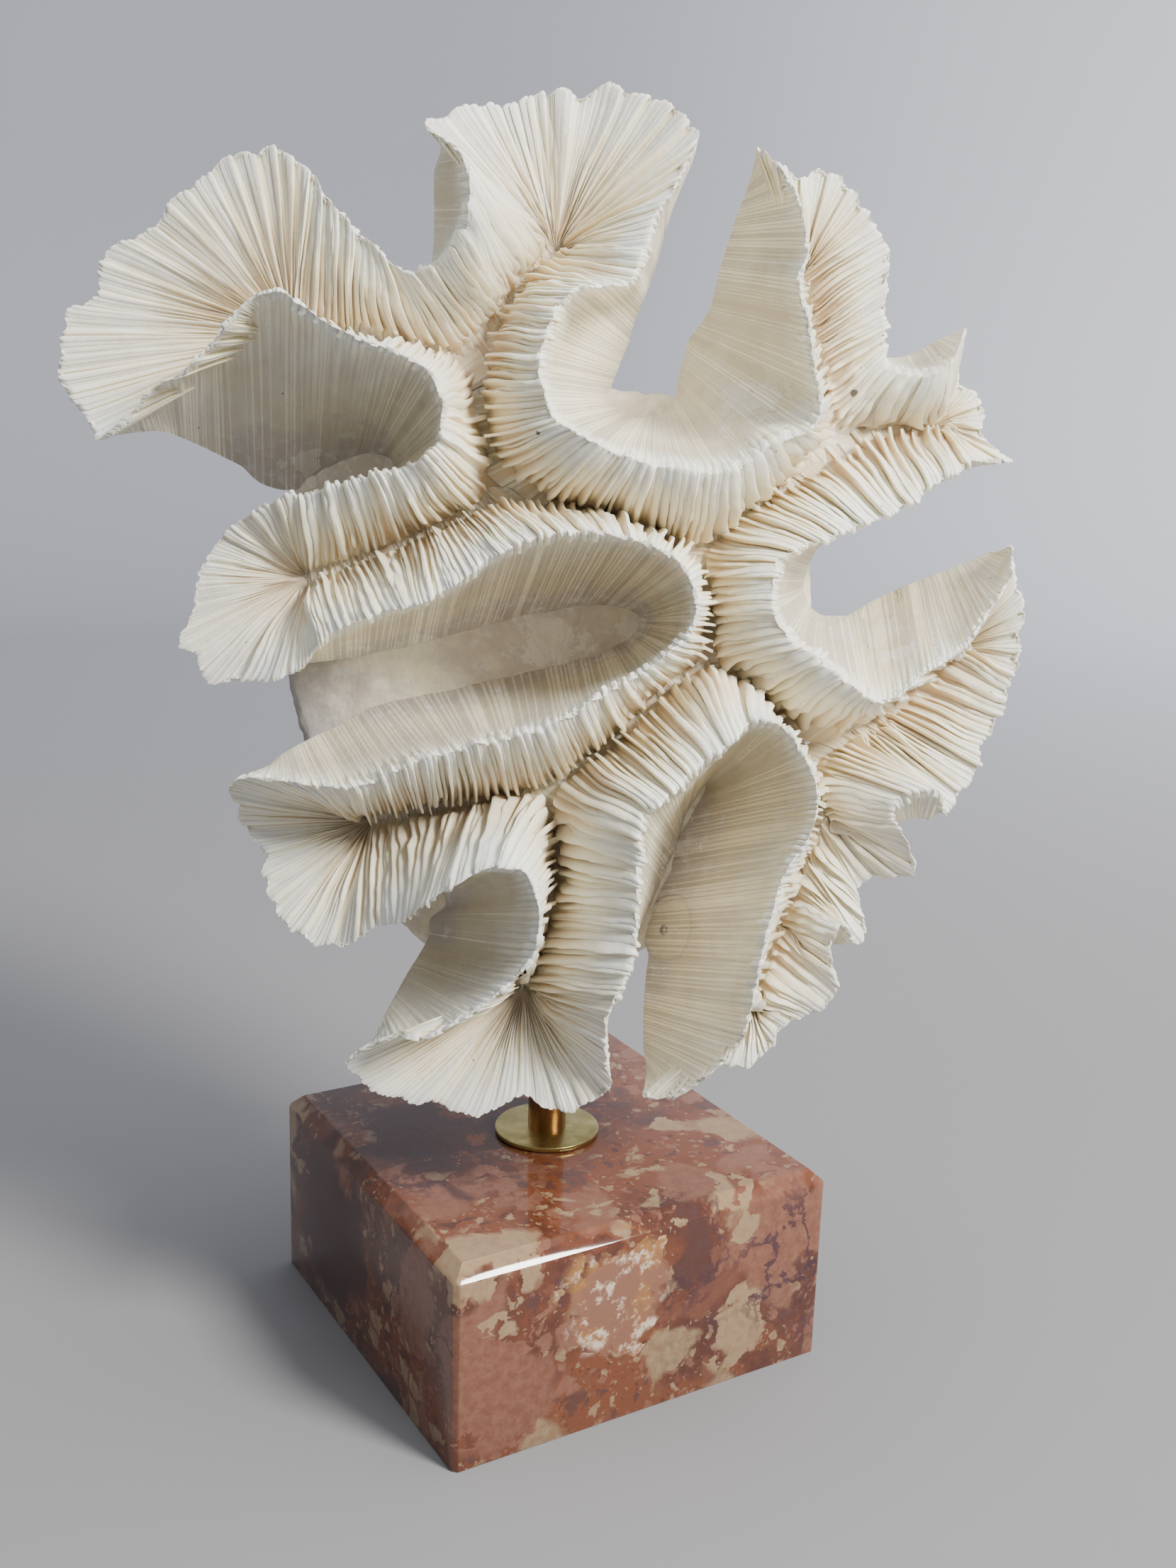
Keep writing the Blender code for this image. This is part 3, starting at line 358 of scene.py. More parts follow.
# Marks on the coral, as (u, v, w) and reach in mm
PEELED_PATCHES = [
    ((67, 33.5, -1), 8), ((60, 38, -8), 6), ((37, 87, 3), 7), ((45, 83, 14), 5), ((-63.7, 73, -12.6), 5),
    ((-7, 33, -15), 6), ((12, 35, -15), 4), ((19, -12, -11), 4), ((-40, 30, -15), 4),
]
SCAR, SCAR_REACH = (19.0, -33.4, -9.5), 7.6
NIPPLE, NIPPLE_REACH = (17.6, -33.7, -10.4), 1.5
# Holes: painted as dark discs, which stand for the shade inside them.
HOLES = [((52.1, 5.4, 10.8), 1.1), ((61.5, 90.2, 3.7), 0.9), ((-11.4, 81.2, 25.9), 0.6)]
STAIN, STAIN_REACH = (82.2, 70.2, 11.0), 0.9


def face_axes():
    """Right, up and sight directions of the face frame."""
    sight = np.array((sin(VIEW_TURN) * cos(VIEW_DROP), cos(VIEW_TURN) * cos(VIEW_DROP), -sin(VIEW_DROP)))
    level = np.array((cos(VIEW_TURN), -sin(VIEW_TURN), 0.0))
    upright = np.cross(level, sight)
    right = cos(VIEW_ROLL) * level + sin(VIEW_ROLL) * upright
    up = -sin(VIEW_ROLL) * level + cos(VIEW_ROLL) * upright
    return right, up, sight


RIGHT, UP, AHEAD = face_axes()


def to_world(points):
    """Face-frame points in world millimetres: each keeps its direction from EYE at any depth."""
    u, v, w = points[..., 0:1], points[..., 1:2], points[..., 2:3]
    ray = AHEAD + (u * RIGHT + v * UP) / SIGHT
    return EYE + (SIGHT - FORWARD - w) * ray


def catmull(p0, p1, p2, p3, t):
    return 0.5 * ((2 * p1) + (p2 - p0) * t + (2 * p0 - 5 * p1 + 4 * p2 - p3) * t * t
                  + (3 * p1 - p0 - 3 * p2 + p3) * t ** 3)


def bezier(a, b, c, t):
    return a * (1 - t) ** 2 + 2 * b * t * (1 - t) + c * t * t


def unit(vectors):
    length = np.linalg.norm(vectors, axis=-1, keepdims=True)
    return vectors / np.maximum(length, 1e-6)


def smooth_step(x, low, high):
    t = np.clip((x - low) / (high - low), 0, 1)
    return t * t * (3 - 2 * t)


def blurred(values, reach):
    """A round-the-rim table softened over reach mm each way."""
    width = int(3 * reach / TABLE_STEP)
    weights = np.exp(-0.5 * (np.arange(-width, width + 1) * TABLE_STEP / reach) ** 2)
    weights /= weights.sum()
    padded = np.concatenate([values[-width:], values, values[:width]])
    if values.ndim == 1:
        return np.convolve(padded, weights, mode="valid")
    return np.stack([np.convolve(column, weights, mode="valid") for column in padded.T], axis=1)


def control_columns():
    """One control column (lobe, rim, groove, foot) for each rim point."""
    columns = []
    for run, (lobe, groove, foot, points) in enumerate(RIM):
        following = RIM[(run + 1) % len(RIM)]
        groove_a, groove_b = np.array((GROOVES[groove], GROOVES[following[1]]), float)
        foot_a, foot_b = np.array((foot, following[2]), float)
        for k, rim in enumerate(points):
            t = k / len(points)
            groove_here = groove_a + (groove_b - groove_a) * t
            foot_here = foot_a + (foot_b - foot_a) * t
            columns.append((lobe, np.array(rim, float), groove_here, foot_here))
    return columns


class RimTable:
    """Rim, groove and foot points all along the rim, the lobe of each, and where the wall fans out."""

    def __init__(self):
        control = control_columns()
        count = len(control)
        rims, grooves, feet, lobes = [], [], [], []
        for i in range(count):
            before, here, after, later = (control[(i + k) % count] for k in (-1, 0, 1, 2))
            steps = max(1, round(np.linalg.norm(after[1] - here[1]) / TABLE_STEP))
            t = (np.arange(steps) / steps)[:, None]
            rims.append(catmull(before[1], here[1], after[1], later[1], t))
            grooves.append(here[2] * (1 - t) + after[2] * t)
            feet.append(here[3] * (1 - t) + after[3] * t)
            lobes += [here[0]] * steps
        self.rim = blurred(np.concatenate(rims), 0.6)
        self.groove = blurred(np.concatenate(grooves), 2.0)
        self.foot = blurred(np.concatenate(feet), 3.0)
        gone = np.linalg.norm(np.roll(self.groove, -4, axis=0) - np.roll(self.groove, 4, axis=0), axis=1)
        self.fan = 1 - smooth_step(gone / (8 * TABLE_STEP), 0.05, 0.3)
        self.lobes = lobes
        self.count = len(lobes)
        self.length = self.count * TABLE_STEP

    def sample(self, values, places):
        """Values of a table row at places along the rim, in mm."""
        x = (places / TABLE_STEP) % self.count
        low = np.floor(x).astype(int) % self.count
        part = x - np.floor(x)
        if values.ndim == 2:
            part = part[..., None]
        return values[low] * (1 - part) + values[(low + 1) % self.count] * part


def ripple(seed, table, places, wave, height=0.0, bands=1):
    """Smooth noise from -1 to 1: wave mm long round the rim, and in bands up the wall at a height."""
    count = max(4, round(table.length / wave))
    knots = np.random.default_rng(seed).uniform(-1, 1, (count, bands + 3))
    x = (places / table.length * count) % count
    i, part = np.floor(x).astype(int) % count, smooth_step(x - np.floor(x), 0, 1)
    y = min(height * bands, bands + 1)
    j = int(y)
    rise = smooth_step(y - j, 0, 1)
    near = knots[i, j] * (1 - rise) + knots[i, j + 1] * rise
    far = knots[(i + 1) % count, j] * (1 - rise) + knots[(i + 1) % count, j + 1] * rise
    return near * (1 - part) + far * part


def wall_section(table):
    """Smooth wall in the face frame, (rows, places, 3), from the groove's middle round to the underside."""
    rim, groove, foot = table.rim, table.groove, table.foot
    side = rim - groove
    side[:, 2] = 0
    side = unit(side)
    fan = table.fan[:, None]
    floor = groove + side * (GROOVE_HALF_WIDTH + FAN_END * fan)
    shoulder = floor + (rim - floor) * SHOULDER_OUT
    shoulder[:, 2] = floor[:, 2] + (rim[:, 2] - floor[:, 2]) * SHOULDER_RISE
    back = unit(foot - rim)
    outer_rim = rim + back * RIM_THICKNESS
    flank = rim + (foot - rim) * FLANK_OUT
    flank[:, 2] = rim[:, 2] + (foot[:, 2] - rim[:, 2]) * FLANK_FALL
    spread = FOOT_SPREAD * smooth_step(-foot[:, 2], 12.5, 14.8)
    keel = foot + back * (spread[:, None] - KEEL_INSET) * (1, 1, 0)
    overlap = side * MIDDLE_OVERLAP * (1 - fan)
    middle = groove - overlap
    middle[:, 2] -= MIDDLE_SINK
    spine = groove - overlap
    spine[:, 2] = SPINE_DEPTH - SPINE_SLOPE * np.maximum(groove[:, 2], 0)
    inner = [bezier(floor, shoulder, rim, t) for t in INNER_STEPS]
    crest = [bezier(inner[-1], rim, outer_rim, t) for t in CREST_STEPS]
    outer = [bezier(outer_rim, flank, keel, t) for t in OUTER_STEPS]
    under = [keel + (spine - keel) * t for t in UNDER_STEPS]
    return np.stack([middle] + inner + crest + outer + under)


def wall_normals(world):
    """Outward directions of the smooth wall."""
    along = np.roll(world, -2, axis=1) - np.roll(world, 2, axis=1)
    across = np.gradient(world, axis=0)
    out = unit(np.cross(along, across))
    out[0] = out[1]
    if (out[2:CREST_ROW] @ AHEAD).mean() > 0:
        out = -out
    return out


class SmoothWall:
    """The wall under the septa: its points, outward directions, and how far below the rim its outside is."""

    def __init__(self, table):
        self.table = table
        self.section = wall_section(table)
        self.world = to_world(self.section)
        self.normals = wall_normals(self.world)
        step = np.linalg.norm(np.diff(self.world, axis=0), axis=2)
        self.drop = np.zeros(self.world.shape[:2])
        self.drop[OUTER_ROW + 1:] = np.cumsum(step[OUTER_ROW:], axis=0)
        reach = [RIB_REACH[lobe] for lobe in table.lobes]
        self.rib_reach = blurred(np.array(reach, float), 4.0)

    def along(self, row, middles):
        """What a millimetre along the rim comes to on a row."""
        ahead = self.table.sample(self.world[row], middles + 0.5)
        return ahead - self.table.sample(self.world[row], middles - 0.5)

    def rimward(self, places):
        """Direction up the inner slope towards the rim."""
        low = self.table.sample(self.world[LOW_ROW], places)
        return unit(self.table.sample(self.world[CREST_ROW], places) - low)


def septum_list(table, settings):
    """Place, half width, strength and start of each septum: the main ones, and a finer one in most gaps."""
    rng = np.random.default_rng(11)
    pitch = settings.septum_pitch / MM
    count = round(table.length / pitch)
    gaps = rng.uniform(0.7, 1.3, count)
    places = np.cumsum(gaps) / gaps.sum() * table.length
    following = np.append(places[1:], places[0] + table.length)
    septa = []
    for place, gap in zip(places, following - places):
        half = settings.septum_width / MM / 2 * rng.uniform(0.75, 1.3)
        septa.append((place, half, rng.uniform(0.65, 1.25), 0.0))
        if gap > 0.75 * pitch:
            middle = place + gap * rng.uniform(0.42, 0.58)
            half = settings.fine_width / MM / 2 * rng.uniform(0.8, 1.2)
            septa.append((middle, half, rng.uniform(0.35, 0.8), rng.uniform(0.15, 0.7)))
    return np.array(septa)


def merge_rank(number):
    """How many gaps each septum may take: where the rim runs tight, only every 2nd, 4th or 8th stays high."""
    order = number % 8
    return np.where(order % 2 == 1, 1, np.where(order % 4 == 2, 2, np.where(order == 4, 4, 8)))


def plate_laps(table, middle):
    """How far the wall at each septum is lapped in or out, from -0.5 to 0.5, as overlapping plates."""
    lap = (middle / LAP_LENGTH + 0.8 * ripple(61, table, middle, 17.0)) % 1.0
    return np.clip(3 * ripple(62, table, middle, 60.0), -1, 1) * (lap - 0.5)


def ragged_rows(count):
    """Random heights on every row for count septa, a little smoothed up the wall."""
    ragged = np.random.default_rng(5).normal(0, 1, (ROWS + 2, count))
    return ragged[:-2] * 0.5 + ragged[1:-1] + ragged[2:] * 0.5


class Septa:
    """Every septum as four columns: the foot and top of one side, then the top and foot of the other."""

    def __init__(self, table, settings):
        self.table = table
        septa = septum_list(table, settings)
        self.places = septa[:, 0]
        self.number = np.repeat(np.arange(len(septa)), 4)
        self.middle, self.half, self.strength, self.start = septa[self.number].T
        self.side = np.tile((-1, -1, 1, 1), len(septa))
        self.top = np.tile((0.0, 1.0, 1.0, 0.0), len(septa))
        self.lean = MEAN_LEAN + ripple(41, table, self.middle, 70.0)
        self.lean = self.lean + 0.5 * ripple(42, table, self.middle, 3.0)
        gentle = GENTLE_SIDE * np.abs(self.lean) * (self.side * self.lean < 0)
        self.edge = (SEPTUM_SIDE + gentle) * (1 - self.top)
        self.rank = merge_rank(self.number)
        self.lapped = plate_laps(table, self.middle)
        self.hook = np.random.default_rng(6).normal(0, HOOK, len(septa))[self.number]
        self.ragged = ragged_rows(len(septa))[:, self.number]
        self.streak = np.random.default_rng(8).normal(0, 1, len(septa))[self.number]

    def places_on(self, row):
        """Where each column stands along the rim on a row."""
        height = WALL_PLACES[row]
        sway = SWAY * ripple(21, self.table, self.middle, 9.0, height * 0.5, 5) * min(1, height * 2)
        sway = sway * (1 if row < OUTER_ROW else 0.4) + self.hook * max(0, 1 - 5 * height)
        wide = self.half * np.interp(SLOPE_PLACES[row], *SEPTUM_WIDTHS)
        soft = (1 - self.top) * np.interp(height, *SOFT_FEET)
        return self.middle + sway + self.side * (wide + self.edge + soft)

    def inner_height(self, row, full_height):
        """Height of the septa on the inner slope."""
        slope = SLOPE_PLACES[row]
        high = np.interp(slope, *SEPTUM_HEIGHTS) * smooth_step(slope, self.start - 0.12, self.start + 0.12)
        high = high * self.strength * full_height
        return high * (1 + (0.12 + 0.25 * max(0, 1 - slope * 3)) * self.ragged[row])

    def outer_height(self, row, full_height, drop, far):
        """Height of the faint ribs on the outside, which die out far below the rim."""
        high = self.strength * full_height * (0.08 * np.exp(-drop / 2.0) + 0.4 * np.exp(-drop / far))
        high = high * smooth_step(drop, 2.6 * far, 0.5 * far)
        return high * (1 + 0.2 * self.ragged[row])

    def thinned(self, row, high, along, pitch):
        """The heights with fans calmed, waves worked in, and no septum higher than its gap allows."""
        if row == 0 or row >= UNDER_ROW - 1:
            return high * 0
        table, height = self.table, WALL_PLACES[row] * 0.5
        spacing = pitch * np.linalg.norm(along, axis=1) * self.rank
        high = high * (1 - FAN_CALM * table.sample(table.fan, self.middle))
        high = high * (0.85 + 0.45 * ripple(51, table, self.middle, 9.0, height, 5))
        high = high * (0.92 + 0.3 * ripple(52, table, self.middle, 1.4, height, 14))
        return np.minimum(high * smooth_step(spacing, 0.5, 1.3), GAP_SHARE * spacing) * self.top

    def fold(self, row, places):
        """How far the wall itself waves and laps, out of its smooth section."""
        table, height = self.table, WALL_PLACES[row]
        wave = ripple(31, table, places, 13.0, height * 0.5, 4) * 0.9
        wave = (wave + ripple(32, table, places, 5.0, height * 0.5, 8) * 0.35) * np.interp(height, *WAVES)
        return np.maximum(wave + LAP_STEP * self.lapped * np.interp(height, *LAPS), -DEEPEST_FOLD)

    def notch(self, row, places):
        """How far the ragged rim stands above its smooth line."""
        notch = 0.9 * ripple(33, self.table, places, 4.0) + 0.6 * ripple(34, self.table, places, 9.0)
        notch = notch + 0.5 * self.top * self.strength - LAP_DIP * np.abs(self.lapped)
        return notch * np.interp(WALL_PLACES[row], *NOTCHES)


def coral_points(table, septa, settings):
    """World points (rows, columns, 3) in metres of the whole ribbed wall, and its tip and worn shades: the
    tip shade holds painted shade deep in the grooves and down the outer wall.
    """
    wall = SmoothWall(table)
    full_height, pitch = settings.septum_height / MM, settings.septum_pitch / MM
    points = np.zeros((ROWS, len(septa.middle), 3))
    shades = {"tip": np.zeros(points.shape[:2]), "worn": np.zeros(points.shape[:2])}
    for row in range(ROWS):
        places = septa.places_on(row)
        drop = table.sample(wall.drop[row], places)
        if row < OUTER_ROW:
            high = septa.inner_height(row, full_height)
            sink = SEPTUM_SINK * smooth_step(SLOPE_PLACES[row], 0.45, 1.0)
        else:
            high = septa.outer_height(row, full_height, drop, table.sample(wall.rib_reach, places))
            sink = SEPTUM_SINK * np.exp(-drop / 3.0)
        along = wall.along(row, septa.middle)
        high = septa.thinned(row, high, along, pitch)
        out = unit(table.sample(wall.normals[row], places))
        lean = septa.lean * high * np.interp(WALL_PLACES[row], *LEANING)
        points[row] = table.sample(wall.world[row], places)
        points[row] += out * (high - sink + septa.fold(row, places))[:, None]
        points[row] += wall.rimward(places) * septa.notch(row, places)[:, None]
        points[row] += unit(along) * lean[:, None]
        # Tip shade: paler towards the rim and on the septa's tops, darker in the grooves, between septa and
        # down the outer wall; partly painted shade and light, partly the skeleton's own tone.
        if row < OUTER_ROW:
            shades["tip"][row] = slope_tip_and_painted_shade(SLOPE_PLACES[row], septa.top)
        else:
            shades["tip"][row] = outer_tip_and_painted_shade(drop, septa.streak)
            shades["worn"][row] = worn_share(table.sample(wall.section[row], places))
    return points * MM, shades


def slope_tip_and_painted_shade(slope, top):
    """How ivory the inner slope is: more towards the rim, and on the septa's tops; the tan deep in the groove
    and between septa is partly painted shade in these recesses and partly real tan.
    """
    ridge = 0.45 + 0.55 * slope
    valley = 0.1 + 0.7 * slope ** 1.3
    return top * ridge + (1 - top) * valley


def outer_tip_and_painted_shade(drop, streak):
    """How pale the outer wall is: most at the rim, darker further down, partly painted shade where the wall
    falls into the clefts between lobes, and a little different on each rib.
    """
    return 0.6 + 0.4 * np.exp(-drop / 3.0) + 0.05 * streak


def worn_share(face):
    """How worn the outer wall is at points in the face frame."""
    worn = np.zeros(len(face))
    for u, v, radius in WORN_PLACES:
        away = np.hypot(face[:, 0] - u, face[:, 1] - v)
        worn = np.maximum(worn, 1 - smooth_step(away, 0.6 * radius, radius))
    return worn * (1 - smooth_step(face[:, 2], -12, 2))


def lobe_runs(table, middles):
    """First column of each stretch of the rim that belongs to one lobe, cut in a gap between two septa."""
    cuts = []
    for place in range(table.count):
        if table.lobes[place] != table.lobes[place - 1]:
            septum = int(np.searchsorted(middles, place * TABLE_STEP)) % len(middles)
            cuts.append((septum * 4, table.lobes[place]))
    total = len(middles) * 4
    runs = {}
    for k, (first, lobe) in enumerate(cuts):
        last = cuts[(k + 1) % len(cuts)][0]
        if last <= first:
            last += total
        runs.setdefault(lobe, []).append([index % total for index in range(first, last + 1)])
    return runs


def close_wall_end(bm, column):
    """Closes the open end of a wall: each face spans the wall from its inner slope to its outer side."""
    low, high = 0, len(column) - 1
    while high - low > 1:
        corners = [column[low], column[low + 1], column[high - 1], column[high]]
        bmesh.ops.contextual_create(bm, geom=list(dict.fromkeys(corners)))
        low += 1
        high -= 1


def walls_mesh(runs, points, shades, name):
    """The walls of one piece: each run of columns is a tube, joined along its middle, with closed ends."""
    bm = bmesh.new()
    order = []
    for run in runs:
        wide = len(run)
        made = bmesh.ops.create_grid(bm, x_segments=wide - 1, y_segments=ROWS - 1, size=1.0)["verts"]
        grid = [made[row * wide:(row + 1) * wide] for row in range(ROWS)]
        order += [(row, column) for row in range(ROWS) for column in run]
        for k in range(wide - 1):
            bm.faces.new((grid[0][k], grid[-1][k], grid[-1][k + 1], grid[0][k + 1]))
        for end in (0, -1):
            close_wall_end(bm, [grid[row][end] for row in range(ROWS)])
    bm.verts.ensure_lookup_table()
    for vertex, (row, column) in zip(bm.verts, order):
        vertex.co = points[row, column]
    bmesh.ops.recalc_face_normals(bm, faces=bm.faces)
    mesh = finished_mesh(bm, name, SEPTUM_CREASE)
    for label, values in shades.items():
        layer = mesh.attributes.new(label, "FLOAT", "POINT")
        layer.data.foreach_set("value", [values[row, column] for row, column in order])
    return mesh


def add_piece(name, mesh, material, nodes):
    """A finished piece at the origin that rides on the one body and stands for its CAD nodes."""
    piece = bpy.data.objects.new(name, mesh)
    bpy.context.scene.collection.objects.link(piece)
    mesh.materials.append(material)
    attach(piece, "root")
    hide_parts(*nodes)
    return piece


def finished_mesh(bm, name, smooth_angle=None):
    mesh = bpy.data.meshes.new(name)
    bm.to_mesh(mesh)
    bm.free()
    mesh.shade_smooth()
    if smooth_angle:
        mesh.set_sharp_from_angle(angle=smooth_angle)
    return mesh


def closed_outline(points, steps):
    """A smooth closed curve through points, as steps places."""
    points = np.array(points, float)
    count = len(points)
    x = np.arange(steps) / steps * count
    i = np.floor(x).astype(int)
    t = (x - i)[:, None]
    return catmull(points[i - 1], points[i % count], points[(i + 1) % count], points[(i + 2) % count], t)


def stalk_point(spot, outline):
    """World place in metres, on the smooth stalk, of a point of the unit sphere."""
    polar = np.arccos(np.clip(spot.z, -1, 1))
    turn = np.arctan2(spot.y, spot.x) / (2 * pi)
    edge = outline[int(round(turn * len(outline))) % len(outline)]
    if polar <= pi / 2:
        size, depth = sin(polar), -STALK_RAISE * smooth_step(cos(polar), 0.0, 0.25)
    else:
        depths, sizes = zip(*STALK_SECTIONS)
        depth = np.interp(polar, (pi / 2, pi), (0, depths[-1]))
        size = np.interp(depth, depths, sizes) * smooth_step(pi - polar, 0.0, 0.25)
    u, v = STALK_CENTRE + (edge - STALK_CENTRE) * size
    return to_world(np.array((u, v, STALK_FRONT - depth))) * MM


def stalk_mesh():
    """The stalk: a rough front that floors the clefts, and a rounded back."""
    bm = bmesh.new()
    bmesh.ops.create_uvsphere(bm, u_segments=STALK_STEPS, v_segments=STALK_STEPS // 2, radius=1.0)
    outline = closed_outline(STALK_OUTLINE, STALK_STEPS)
    for vertex in bm.verts:
        vertex.co = stalk_point(vertex.co, outline)
    bmesh.ops.recalc_face_normals(bm, faces=bm.faces)
    bm.normal_update()
    for vertex in bm.verts:
        lumps = noise.fractal(vertex.co / (STALK_LUMPS * MM), 0.9, 2.1, 5) * LUMP_HEIGHT
        grain = noise.fractal(vertex.co / (STALK_GRAIN * MM), 0.8, 2.0, 3) * GRAIN_HEIGHT
        vertex.co += vertex.normal * (lumps + grain) * MM
    return finished_mesh(bm, "stalk")


def edge_rise(edge):
    return abs(edge.verts[0].co.z - edge.verts[1].co.z)


def bevel_edges(bm, edges, offset, segments):
    bmesh.ops.bevel(bm, geom=edges, offset=offset, segments=segments, profile=0.5, affect="EDGES",
                    material=-1)


def block_mesh(settings):
    """Marble block: wide chamfers round the top, narrow ones down the corners, all edges eased."""
    bm = bmesh.new()
    size = BLOCK_HIGH - BLOCK_LOW
    bmesh.ops.create_cube(bm, size=1.0)
    bmesh.ops.scale(bm, vec=size, verts=bm.verts)
    bmesh.ops.translate(bm, vec=(BLOCK_LOW + BLOCK_HIGH) / 2, verts=bm.verts)
    middle = (BLOCK_LOW.z + BLOCK_HIGH.z) / 2
    bevel_edges(bm, [e for e in bm.edges if all(v.co.z > middle for v in e.verts)], settings.chamfer, 1)
    bevel_edges(bm, [e for e in bm.edges if edge_rise(e) > size.z / 2], settings.arris, 1)
    bevel_edges(bm, list(bm.edges), settings.easing, 3)
    return finished_mesh(bm, "marble_block", radians(50))


def turned_mesh(name, radius, low, high, segments, easing):
    """A plain turned bar or disc with eased ends."""
    bm = bmesh.new()
    tall = high - low
    bmesh.ops.create_cone(bm, cap_ends=True, segments=segments, radius1=radius, radius2=radius, depth=tall)
    bmesh.ops.translate(bm, vec=(0, 0, (high + low) / 2), verts=bm.verts)
    bevel_edges(bm, [e for e in bm.edges if edge_rise(e) < easing], easing, 3)
    return finished_mesh(bm, name, radians(50))


class Shader:
    """A material's node tree, with short calls to add and join its nodes."""

    def __init__(self, name):
        self.material = bpy.data.materials.new(name)
        self.material.use_nodes = True
        self.tree = self.material.node_tree
        self.surface = self.tree.nodes["Principled BSDF"]
        self.here = self.add("ShaderNodeTexCoord").outputs["Object"]

    def add(self, kind, **settings):
        node = self.tree.nodes.new(kind)
        for key, value in settings.items():
            setattr(node, key, value)
        return node

    def plug(self, source, socket):
        if isinstance(source, bpy.types.NodeSocket):
            self.tree.links.new(source, socket)
        else:
            socket.default_value = source

    def attribute(self, name):
        return self.add("ShaderNodeAttribute", attribute_name=name).outputs["Fac"]

    def noise(self, scale, detail=3.0, roughness=0.5, at=None, output="Fac"):
        node = self.add("ShaderNodeTexNoise")
        self.plug(at or self.here, node.inputs["Vector"])
        node.inputs["Scale"].default_value = scale
        node.inputs["Detail"].default_value = detail
        node.inputs["Roughness"].default_value = roughness
        return node.outputs[output]

    def cells(self, scale, at=None, feature="F1", output="Distance"):
        node = self.add("ShaderNodeTexVoronoi", feature=feature)
        self.plug(at or self.here, node.inputs["Vector"])
        node.inputs["Scale"].default_value = scale
        return node.outputs[output]

    def between(self, value, low, high, to_low=0.0, to_high=1.0):
        """Value from low to high taken softly to the range to_low to to_high."""
        node = self.add("ShaderNodeMapRange", interpolation_type="SMOOTHSTEP")
        self.plug(value, node.inputs["Value"])
        for key, number in (("From Min", low), ("From Max", high), ("To Min", to_low), ("To Max", to_high)):
            node.inputs[key].default_value = number
        return node.outputs["Result"]

    def calc(self, operation, a, b):
        node = self.add("ShaderNodeMath", operation=operation)
        self.plug(a, node.inputs[0])
        self.plug(b, node.inputs[1])
        return node.outputs[0]

    def vector(self, operation, a, b=None, scale=None):
        node = self.add("ShaderNodeVectorMath", operation=operation)
        self.plug(a, node.inputs[0])
        if b is not None:
            self.plug(b, node.inputs[1])
        if scale is not None:
            self.plug(scale, node.inputs["Scale"])
        return node

    def mix(self, share, first, second):
        node = self.add("ShaderNodeMix", data_type="RGBA")
        self.plug(share, node.inputs["Factor"])
        for socket, colour in (("A", first), ("B", second)):
            plugs = [s for s in node.inputs if s.name == socket and s.type == "RGBA"]
            self.plug(colour if isinstance(colour, bpy.types.NodeSocket) else (*colour[:3], 1.0), plugs[0])
        return [s for s in node.outputs if s.type == "RGBA"][0]

    def steps(self, value, stops):
        """A colour for each band of value, with hard edges."""
        node = self.add("ShaderNodeValToRGB")
        ramp = node.color_ramp
        ramp.interpolation = "CONSTANT"
        while len(ramp.elements) < len(stops):
            ramp.elements.new(0.5)
        for element, (place, colour) in zip(ramp.elements, stops):
            element.position = place
            element.color = (*colour, 1.0)
        self.plug(value, node.inputs["Fac"])
        return node.outputs["Color"]

    def distance(self, place):
        """Distance in millimetres from a place in the face frame."""
        spot = tuple(float(x) for x in to_world(np.array(place, float)) * MM)
        away = self.vector("DISTANCE", self.here, spot).outputs["Value"]
        return self.calc("DIVIDE", away, MM)

    def inside(self, place, reach, share, softness=0.2):
        """Share within reach of a place in the face frame, fading to nothing at its edge."""
        return self.between(self.distance(place), (1 - softness) * reach, (1 + softness) * reach, share, 0.0)

    def bump(self, height, strength, distance):
        node = self.add("ShaderNodeBump")
        self.plug(height, node.inputs["Height"])
        node.inputs["Strength"].default_value = strength
        node.inputs["Distance"].default_value = distance
        self.plug(node.outputs["Normal"], self.surface.inputs["Normal"])

    def set(self, **values):
        for key, value in values.items():
            self.plug(value, self.surface.inputs[key.replace("_", " ")])


def coral_material(settings):
    """Ivory skeleton, tan deep in its grooves (partly painted shade), pale on its tips (partly painted
    light), worn grey with white crusts on its old places, and marks.
    """
    s = Shader("coral_skeleton")
    worn = s.attribute("worn")
    clean = clean_skeleton(s, settings)
    edge = s.calc("ADD", worn, s.between(s.noise(160, 4, 0.6), 0.3, 0.7, -0.25, 0.25))
    colour = s.mix(s.between(edge, 0.1, 0.95), clean, crusted(s, settings, 260))
    patch = peeled_share(s)
    colour = s.mix(s.calc("MULTIPLY", patch, 0.75), colour, settings.tip)
    colour = marked(s, colour, settings)
    s.set(Base_Color=colour, Roughness=s.between(worn, 0, 1, 0.5, 0.8), Subsurface_Weight=0.35,
          Subsurface_Radius=(1.0, 0.65, 0.35), Subsurface_Scale=2.2 * MM)
    fine = s.calc("MULTIPLY", s.noise(900, 3, 0.6), 0.1)
    coarse = s.calc("MULTIPLY", s.noise(250, 3, 0.5), 0.2)
    relief = s.calc("ADD", s.calc("ADD", fine, coarse), s.calc("MULTIPLY", patch, 0.12))
    s.bump(s.calc("ADD", relief, scar_relief(s)), 1.0, MM)
    return s.material


def clean_skeleton(s, settings):
    """Tan to ivory to pale tips by the tip shade, which partly holds painted shade in the grooves and painted
    light on the tips, with warmer, clearer stretches.
    """
    shade = s.calc("ADD", s.attribute("tip"), s.between(s.noise(70, 4, 0.6), 0.35, 0.65, -0.12, 0.12))
    ivory = s.mix(s.between(shade, 0.1, 0.8), settings.tan, settings.ivory)
    ivory = s.mix(s.between(s.noise(34, 3, 0.5), 0.45, 0.7, 0.0, 0.45), ivory, settings.honey)
    return s.mix(s.between(shade, 0.7, 1.0), ivory, settings.tip)


